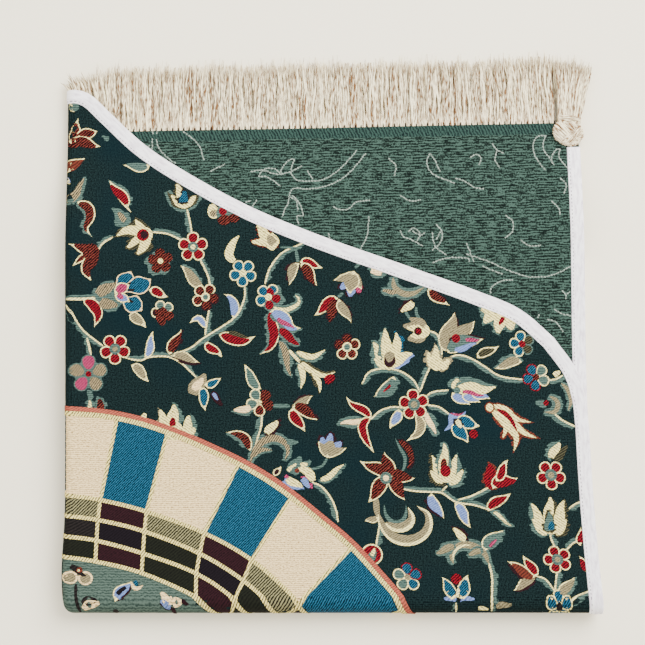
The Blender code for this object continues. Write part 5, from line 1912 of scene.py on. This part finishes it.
@dataclass
class EdgeBinding:
    """The white bias tape folded over the edge, with its row of stitches."""

    lay: FoldedLay
    grid: ClothGrid
    gap: float = 0.0003
    stitch_inset: float = 0.0066
    stitch_pitch: float = 0.0024
    stitch_length: float = 0.0014

    def section(self) -> Points:
        """The tape's section as inset from the cloth's edge and outward, once round."""
        half = 0.5 * self.lay.thickness
        outer = half + self.lay.tape_reach
        reach = self.lay.tape_reach
        width = self.grid.cut.tape_width
        turn = np.linspace(0.5 * math.pi, 1.5 * math.pi, 9)
        rounded = np.stack([-reach + outer * 0.55 * (1 + np.cos(turn)), outer * np.sin(turn)], axis=1)
        top = np.array(
            [
                (width, half + 0.00008),
                (width - 0.0003, outer - 0.00025),
                (width - 0.0012, outer - 0.0002),
                (width - 0.0020, outer),
                (width * 0.60, outer + 0.0001),
                (width * 0.42, outer + 0.0001),
                (width * 0.24, outer),
            ]
        )
        return np.concatenate([top, rounded, top[::-1] * (1, -1), [(0.0005, -half), (0.0005, half)]])

    def build(self) -> bpy.types.Object:
        """Carries the section along the bound edge, with soft puckers where it turns."""
        edge = self.grid.bound_edge(self.grid.points())
        reach = np.concatenate([[0.0], np.cumsum(np.linalg.norm(np.diff(edge, axis=0), axis=1))])
        steps, section = inward(edge), self.section()
        half = 0.5 * self.lay.thickness
        count = len(section)
        flat = edge[:, None] + steps[:, None] * section[None, :, :1]
        outward = np.broadcast_to(section[None, :, 1], flat.shape[:2]).copy()
        pucker = np.sin(reach * 410.0) * np.sin(reach * 137.0 + 1.0) + 0.6 * np.sin(reach * 233.0)
        raised = np.sign(outward) * (np.abs(outward) > half + 0.6 * self.lay.tape_reach)
        outward += 0.00010 * pucker[:, None] * raised
        drift = 0.0040 + 0.0018 * np.sin(reach * 71.0) + 0.0009 * np.sin(reach * 163.0 + 2.0)
        trough = np.exp(-(((section[None, :, 0] - drift[:, None]) / 0.0009) ** 2))
        outward -= 0.00030 * trough * ease(np.sin(reach * 33.0 + 0.8), -0.4, 0.6)[:, None] * raised
        placed = self.lay.place(flat[..., 0].ravel(), flat[..., 1].ravel(), outward.ravel())
        number = np.arange(len(edge) * count).reshape(len(edge), count)
        across = np.roll(number, -1, axis=1)
        faces = np.stack([number[:-1], across[:-1], across[1:], number[1:]], axis=-1).reshape(-1, 4)
        faces = [list(face) for face in faces.tolist()] + [number[0, ::-1].tolist(), number[-1].tolist()]
        around = np.concatenate([[0.0], np.cumsum(np.linalg.norm(np.diff(section, axis=0), axis=1))])
        uv = np.stack(np.meshgrid(around, reach), axis=-1).reshape(-1, 2)
        piece = make_piece("bias_tape", placed, faces, TAPE_FINISH.material(), uv)
        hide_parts("edge_binding")
        self.stitches(edge, steps)
        return piece

    def stitches(self, edge: Points, steps: Points) -> None:
        """Sews the row of short stitches on both sides of the tape, sunk a little into it."""
        line = edge + steps * self.stitch_inset
        path = even_steps(line, self.stitch_pitch)
        run = np.gradient(path, axis=0)
        run = run / np.linalg.norm(run, axis=1)[:, None]
        side = np.stack([-run[:, 1], run[:, 0]], axis=1)
        half = 0.5 * self.lay.thickness + self.lay.tape_reach
        shape = (
            # along, across, rise: once round a stitch, before its crown
            (-1.0, 0.0, -0.25),
            (-0.6, 0.9, 0.0),
            (0.6, 0.9, 0.0),
            (1.0, 0.0, -0.25),
            (0.6, -0.9, 0.0),
            (-0.6, -0.9, 0.0),
        )
        points, faces = [], []
        for sign in (1.0, -1.0):
            rows = []
            for long, wide, rise in shape:
                flat = path + run * long * 0.5 * self.stitch_length + side * wide * 0.00022
                rows.append(self.lay.place(flat[:, 0], flat[:, 1], sign * (half - 0.0001 + rise * 0.0004)))
            rows.append(self.lay.place(path[:, 0], path[:, 1], sign * (half + 0.00012)))
            for number in range(len(path)):
                first = 7 * (len(path) * len(points) + number)
                for corner in range(6):
                    triangle = [first + corner, first + (corner + 1) % 6, first + 6]
                    faces.append(triangle[::-1] if sign > 0 else triangle)
            points.append(np.stack(rows, axis=1).reshape(-1, 3))
        uv = np.concatenate([np.repeat(path, 7, axis=0)] * 2)
        make_piece("tape_stitches", np.concatenate(points), faces, THREAD_FINISH.material(), uv)


@dataclass
class YarnBundle:
    """Many thin yarns as one piece, each a tube along its own path."""

    sides: int = 5

    def tubes(self, paths: Points, radii: Points) -> tuple[Points, list, Points]:
        """Draws tubes along paths.

        Args:
            paths: yarns by points by three.
            radii: yarns by points.

        Returns:
            Points, faces and flat places.
        """
        yarns, steps = paths.shape[:2]
        run = np.gradient(paths, axis=1)
        run /= np.maximum(np.linalg.norm(run, axis=2, keepdims=True), 1e-12)
        aside = np.cross(run, np.array([0.0, 0.0, 1.0]))
        flat = np.linalg.norm(aside, axis=2, keepdims=True)
        aside = np.where(flat > 0.05, aside / np.maximum(flat, 1e-9), np.array([1.0, 0.0, 0.0]))
        upward = np.cross(aside, run)
        turn = np.linspace(0.0, 2.0 * math.pi, self.sides, endpoint=False)
        ring = np.cos(turn)[:, None] * aside[:, :, None] + np.sin(turn)[:, None] * upward[:, :, None]
        points = (paths[:, :, None] + radii[:, :, None, None] * ring).reshape(-1, 3)
        number = np.arange(yarns * steps * self.sides).reshape(yarns, steps, self.sides)
        across = np.roll(number, -1, axis=2)
        walls = np.stack([number[:, :-1], number[:, 1:], across[:, 1:], across[:, :-1]], axis=-1).reshape(-1, 4)
        faces = walls.tolist() + number[:, 0].tolist() + number[:, -1, ::-1].tolist()
        length = np.linalg.norm(np.diff(paths, axis=1), axis=2).cumsum(axis=1)
        length = np.concatenate([np.zeros((yarns, 1)), length], axis=1) + np.arange(yarns)[:, None] * 0.013
        around = np.broadcast_to(np.arange(self.sides) * 0.0006, (yarns, steps, self.sides))
        uv = np.stack([around, np.broadcast_to(length[:, :, None], around.shape)], axis=-1).reshape(-1, 2)
        return points, faces, uv


@dataclass
class EndFringe:
    """The knotless fringe of cotton yarns along the straight end, drawn out of the cloth in tufts."""

    lay: FoldedLay
    cut: CutOutline
    tuft_pitch: float = 0.0036
    yarns_a_tuft: int = 7
    length: float = 0.0425
    steps: int = 13
    radius: float = 0.00060
    reach: float = 0.3170
    first_tuft: float = 0.003
    stray_above: float = 0.94  # yarns whose random share is higher lean out of their tuft
    wisp_above: float = 0.84  # and those above this are thin and long
    splay: float = 0.0080  # how far the yarns at the centreline's fold fan out
    splay_reach: float = 0.030

    def half_paths(self, half: float) -> tuple[Points, Points]:
        """The paths and radii of the yarns of one half, half 1 the upper one and -1 the lower."""
        tufts = int((self.reach - self.first_tuft) / self.tuft_pitch)
        tuft = np.repeat(np.arange(tufts), self.yarns_a_tuft)
        yarn = np.tile(np.arange(self.yarns_a_tuft), tufts)
        seed = tuft * 7.3 + yarn * 1.9 + (50.0 if half > 0 else 0.0)
        root = self.first_tuft + (tuft + 0.5) * self.tuft_pitch
        aside = (yarn - 0.5 * (self.yarns_a_tuft - 1)) / (self.yarns_a_tuft - 1)
        share = np.linspace(0.0, 1.0, self.steps)[None, :]
        lean = 0.0012 * (2.0 * hashed(tuft * 3.1) - 1.0) + 0.0022 * (2.0 * hashed(seed) - 1.0)
        lean = lean - 0.0012 * ease(root, 0.20, 0.33)
        stray = hashed(seed + 3.1) > self.stray_above
        lean = lean + np.where(stray, 0.008 * (hashed(seed + 4.0) - 0.5), 0.0)
        wisp = hashed(seed + 9.0) > self.wisp_above
        length = self.length + 0.0050 * (hashed(seed + 1.7) - 0.75) + 0.0040 * wisp
        length = length + 0.0020 * ease(root, 0.26, 0.33)
        wide = (0.0019 + 0.0018 * ease(share, 0.0, 0.16)) * aside[:, None]
        turn = 6.0 + 6.0 * hashed(seed + 5.0)[:, None]
        wave = 0.0006 * np.sin(share * turn + 6.28 * hashed(seed + 6.0)[:, None])
        across = half * (root[:, None] + wide + lean[:, None] * share**1.3 + wave * ease(share, 0.0, 0.3))
        along = -self.cut.fringe_end + 0.0006 - length[:, None] * share
        over = ease(root, 0.048, 0.075)[:, None]
        drop = 0.00095 * over * ease(share, 0.0, 0.35)
        level = (hashed(seed + 2.3)[:, None] - 0.5) * 0.0024 * ease(share, 0.0, 0.25)
        outward = half * (drop - level)
        paths = self.lay.place(across.ravel(), along.ravel(), outward.ravel()).reshape(*across.shape, 3)
        near_fold = np.maximum(0.0, 1.0 - root / self.splay_reach)[:, None]
        paths[..., 0] -= self.splay * near_fold * share**3 * (0.6 + 0.8 * hashed(seed + 7.0)[:, None])
        paths[..., 1] -= self.splay * near_fold * share**3
        paths[..., 2] = np.maximum(paths[..., 2], 1.2 * self.radius)
        thick = (self.radius * (0.80 + 0.5 * hashed(seed + 8.0)) * np.where(wisp, 0.6, 1.0))[:, None]
        radii = thick * (1.0 - 0.8 * ease(share, 0.74, 1.0)) * (0.8 + 0.2 * ease(share, 0.0, 0.1))
        return paths, radii

    def build(self) -> list[bpy.types.Object]:
        """Builds the upper and the lower half of the fringe."""
        material = COTTON_FINISH.material()
        pieces = []
        for name, half in (("fringe_yarns_upper", 1.0), ("fringe_yarns_lower", -1.0)):
            points, faces, uv = YarnBundle().tubes(*self.half_paths(half))
            pieces.append(make_piece(name, points, faces, material, uv, YARN_SHARP_DEG))
            LOG.info("%s: %d faces", name, len(faces))
        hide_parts("end_fringe")
        return pieces


@dataclass
class CornerTassel:
    """A tassel at a corner of the fringe: a hard knot of many yarns and the skirt below it."""

    lay: FoldedLay
    cut: CutOutline
    half: float
    knot: Spot = (0.0101, 0.0086)
    knot_tilt: float = math.radians(-20.0)
    offset: Spot = (-0.0021, -0.0014)
    thickness: float = 0.0046
    space: float = 0.0050
    length: float = 0.0400
    neck: float = 0.0066
    spread: float = 0.0122
    lean: float = math.radians(5.0)

    def build(self) -> bpy.types.Object:
        """Builds the knot's wraps and the skirt as one bundle of yarns."""
        rise = self.space if self.half > 0 else 0.0
        inset = self.cut.knot_inset
        across, along = self.half * (self.cut.half_width - inset), inset - self.cut.fringe_end
        place = self.lay.place(np.array([across]), np.array([along]), np.array([0.0]))[0]
        place = place + np.array([*self.offset, 0.0])
        place[2] = 0.5 * self.thickness + rise + 0.0008
        skirt, skirt_radii = self.skirt()
        wraps, wrap_radii = self.wraps()
        points, faces, uv = YarnBundle().tubes(skirt, skirt_radii)
        more, more_faces, more_uv = YarnBundle(6).tubes(wraps, wrap_radii)
        faces = faces + [[corner + len(points) for corner in face] for face in more_faces]
        points = np.concatenate([points, more])
        turn = -self.lean
        turned = points.copy()
        turned[:, 0] = math.cos(turn) * points[:, 0] - math.sin(turn) * points[:, 1]
        turned[:, 1] = math.sin(turn) * points[:, 0] + math.cos(turn) * points[:, 1]
        name = "upper" if self.half > 0 else "lower"
        uv = np.concatenate([uv, more_uv])
        finish = COTTON_FINISH.material()
        piece = make_piece(f"tassel_{name}", turned + place, faces, finish, uv, YARN_SHARP_DEG)
        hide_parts(f"corner_tassel_{name}")
        return piece

    def skirt(self) -> tuple[Points, Points]:
        """The hanging yarns, fanned from the knot's neck."""
        count, steps = 130, 12
        seed = np.arange(count) * 3.7 + (9.0 if self.half > 0 else 0.0)
        fan = 2.0 * hashed(seed) - 1.0
        deep = 2.0 * hashed(seed + 1.0) - 1.0
        share = np.linspace(0.0, 1.0, steps)[None, :]
        across = fan[:, None] * (self.neck + (self.spread - self.neck) * share**1.4)
        across += 0.0005 * np.sin(share * 8.0 + 6.0 * hashed(seed + 2.0)[:, None])
        wisp = hashed(seed + 6.0) > 0.85
        length = self.length + 0.005 * (hashed(seed + 4.0) - 0.8) + 0.004 * wisp - 0.003 * np.maximum(fan, 0.0)
        along = 0.0055 + length[:, None] * share
        height = deep[:, None] * 0.0017 * (1.0 - 0.35 * share) - (0.0012 * share if self.half > 0 else 0.0)
        paths = np.stack([across, along, height], axis=-1)
        thick = np.where(wisp, 0.00036, 0.00060 + 0.0001 * deep)[:, None]
        radii = thick * (1.0 - 0.8 * ease(share, 0.76, 1.0))
        return paths, radii

    def wraps(self) -> tuple[Points, Points]:
        """The knot: a core, two sheaves of cords that cross over it, and a collar at its neck."""
        paths, radii = [], []
        share = np.linspace(-1.0, 1.0, 22)
        sheaves = (
            # tilt, first and last offset as a share of the knot, cords, rise, radius
            (0.0, -0.80, 0.80, 9, 0.62, 0.00120),
            (-16.0, 0.25, 0.92, 4, 0.92, 0.00085),
            (-22.0, -0.80, 0.10, 6, 0.98, 0.00085),
            (72.0, -0.88, -0.18, 5, 1.08, 0.00085),
            (40.0, -0.95, -0.62, 3, 1.10, 0.00080),
        )
        for tilt, first, last, cords, rise, radius in sheaves:
            turn = math.radians(tilt)
            for number, offset in enumerate(np.linspace(first, last, cords)):
                turned = turn + 0.10 * math.sin(number * 1.9 + tilt)
                reach = math.sqrt(1.0 - offset * offset) * 0.97
                run = reach * np.sin(0.5 * math.pi * share)
                x = self.knot[0] * (run * math.cos(turned) - offset * math.sin(turned))
                y = self.knot[1] * (run * math.sin(turned) + offset * math.cos(turned))
                dome = np.sqrt(np.maximum(0.0, 1.0 - run * run - offset * offset))
                height = 0.5 * self.thickness * rise * dome
                tilt_x = math.cos(self.knot_tilt) * x - math.sin(self.knot_tilt) * y
                tilt_y = math.sin(self.knot_tilt) * x + math.cos(self.knot_tilt) * y
                paths.append(np.stack([tilt_x, tilt_y, height], axis=1))
                radii.append(radius * np.sqrt(np.maximum(0.15, 1.0 - share**8)))
        for number in range(3):
            across = (self.neck + 0.0006) * share
            along = 0.0078 + 0.0011 * number + 0.0004 * np.sin(3.0 * share + number)
            height = 0.5 * self.thickness * 0.95 * np.sqrt(np.maximum(0.0, 1.0 - share * share))
            paths.append(np.stack([across, along, height], axis=1))
            radii.append(np.full(len(share), 0.00075))
        return np.array(paths), np.array(radii)


@dataclass(frozen=True)
class Studio:
    """A plain pale floor under soft light from above and the right."""

    floor: str = "#fff8e0"
    shade: str = "#fbf2d8"
    surroundings: str = "#fbf7f0"
    surroundings_strength: float = 1.33
    floor_side: float = 6.0

    def build(self) -> None:
        """Makes the floor, the lights and the pale surroundings."""
        half = 0.5 * self.floor_side
        corners = [(-half, -half, 0.0), (half, -half, 0.0), (half, half, 0.0), (-half, half, 0.0)]
        mesh = bpy.data.meshes.new("floor")
        mesh.from_pydata(corners, [], [(0, 1, 2, 3)])
        nodes = FinishNodes("pale_floor")
        place = nodes.add("TexCoord", {}, {}).outputs["Object"]
        cloudy = nodes.add("TexNoise", {}, {"Vector": place, "Scale": 5.0, "Detail": 2.0}).outputs["Fac"]
        mesh.materials.append(nodes.finish(nodes.mix(cloudy, linear(self.shade), linear(self.floor)), 0.9, 0.1))
        floor = bpy.data.objects.new("floor", mesh)
        bpy.context.scene.collection.objects.link(floor)
        self.light("key", (0.75, 0.95, 1.5), 1.3, 90.0)
        self.light("fill", (-0.9, -0.2, 1.7), 1.8, 17.0)
        world = bpy.data.worlds.new("surroundings")
        world.use_nodes = True
        background = world.node_tree.nodes["Background"]
        background.inputs["Color"].default_value = linear(self.surroundings)
        background.inputs["Strength"].default_value = self.surroundings_strength
        bpy.context.scene.world = world

    def light(self, name: str, at: tuple[float, float, float], side: float, watts: float) -> None:
        """Adds a soft square light aimed at the rug."""
        data = bpy.data.lights.new(name, "AREA")
        data.shape = "SQUARE"
        data.size = side
        data.energy = watts
        light = bpy.data.objects.new(name, data)
        light.location = at
        light.rotation_euler = (-Vector(at)).to_track_quat("-Z", "Y").to_euler()
        bpy.context.scene.collection.objects.link(light)


def shifted_lay() -> FoldedLay:
    """Finds how far the solids were moved onto their origin.

    Returns:
        The folds with that shift.
    """
    lay = FoldedLay()
    low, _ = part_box("rug_cloth")
    along = np.linspace(lay.tuck_line, lay.arch_end - 0.01, 400)
    face = 0.5 * lay.thickness
    edge = lay.place(np.zeros(len(along)), along, face)
    bend = lay.place(np.array([0.1]), np.array([lay.tuck_line + lay.middle_half]), np.array([face]))
    return FoldedLay(shift=(low[0] - edge[:, 0].min(), low[1] - bend[0, 1]))


def main() -> None:
    """Dresses the rug, piece by piece."""
    logging.basicConfig(level=logging.INFO, format="%(message)s")
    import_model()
    lay = shifted_lay()
    LOG.info("shift %s", lay.shift)
    view = PhotoView()
    cut = CutOutline()
    grid = ClothGrid(lay, cut)
    view.make_camera(lay)
    Studio().build()
    cloth = GroundCloth(lay, grid)
    sheet = cloth.build()
    LOG.info("cloth: %d faces", len(sheet.data.polygons))
    patches = WovenPatches(lay, grid)
    Medallion().lay_out(patches)
    arabesque = Arabesque(patches, view)
    for groups in PATTERN:
        arabesque.draw(groups)
    ReverseTraces().lay_out(patches, view)
    woven = patches.build("face", YARN_FINISHES)
    tape = EdgeBinding(lay, grid).build()
    fringe = EndFringe(lay, cut).build()
    tassels = [CornerTassel(lay, cut, half).build() for half in (1.0, -1.0)]


if __name__ == "__main__":
    main()
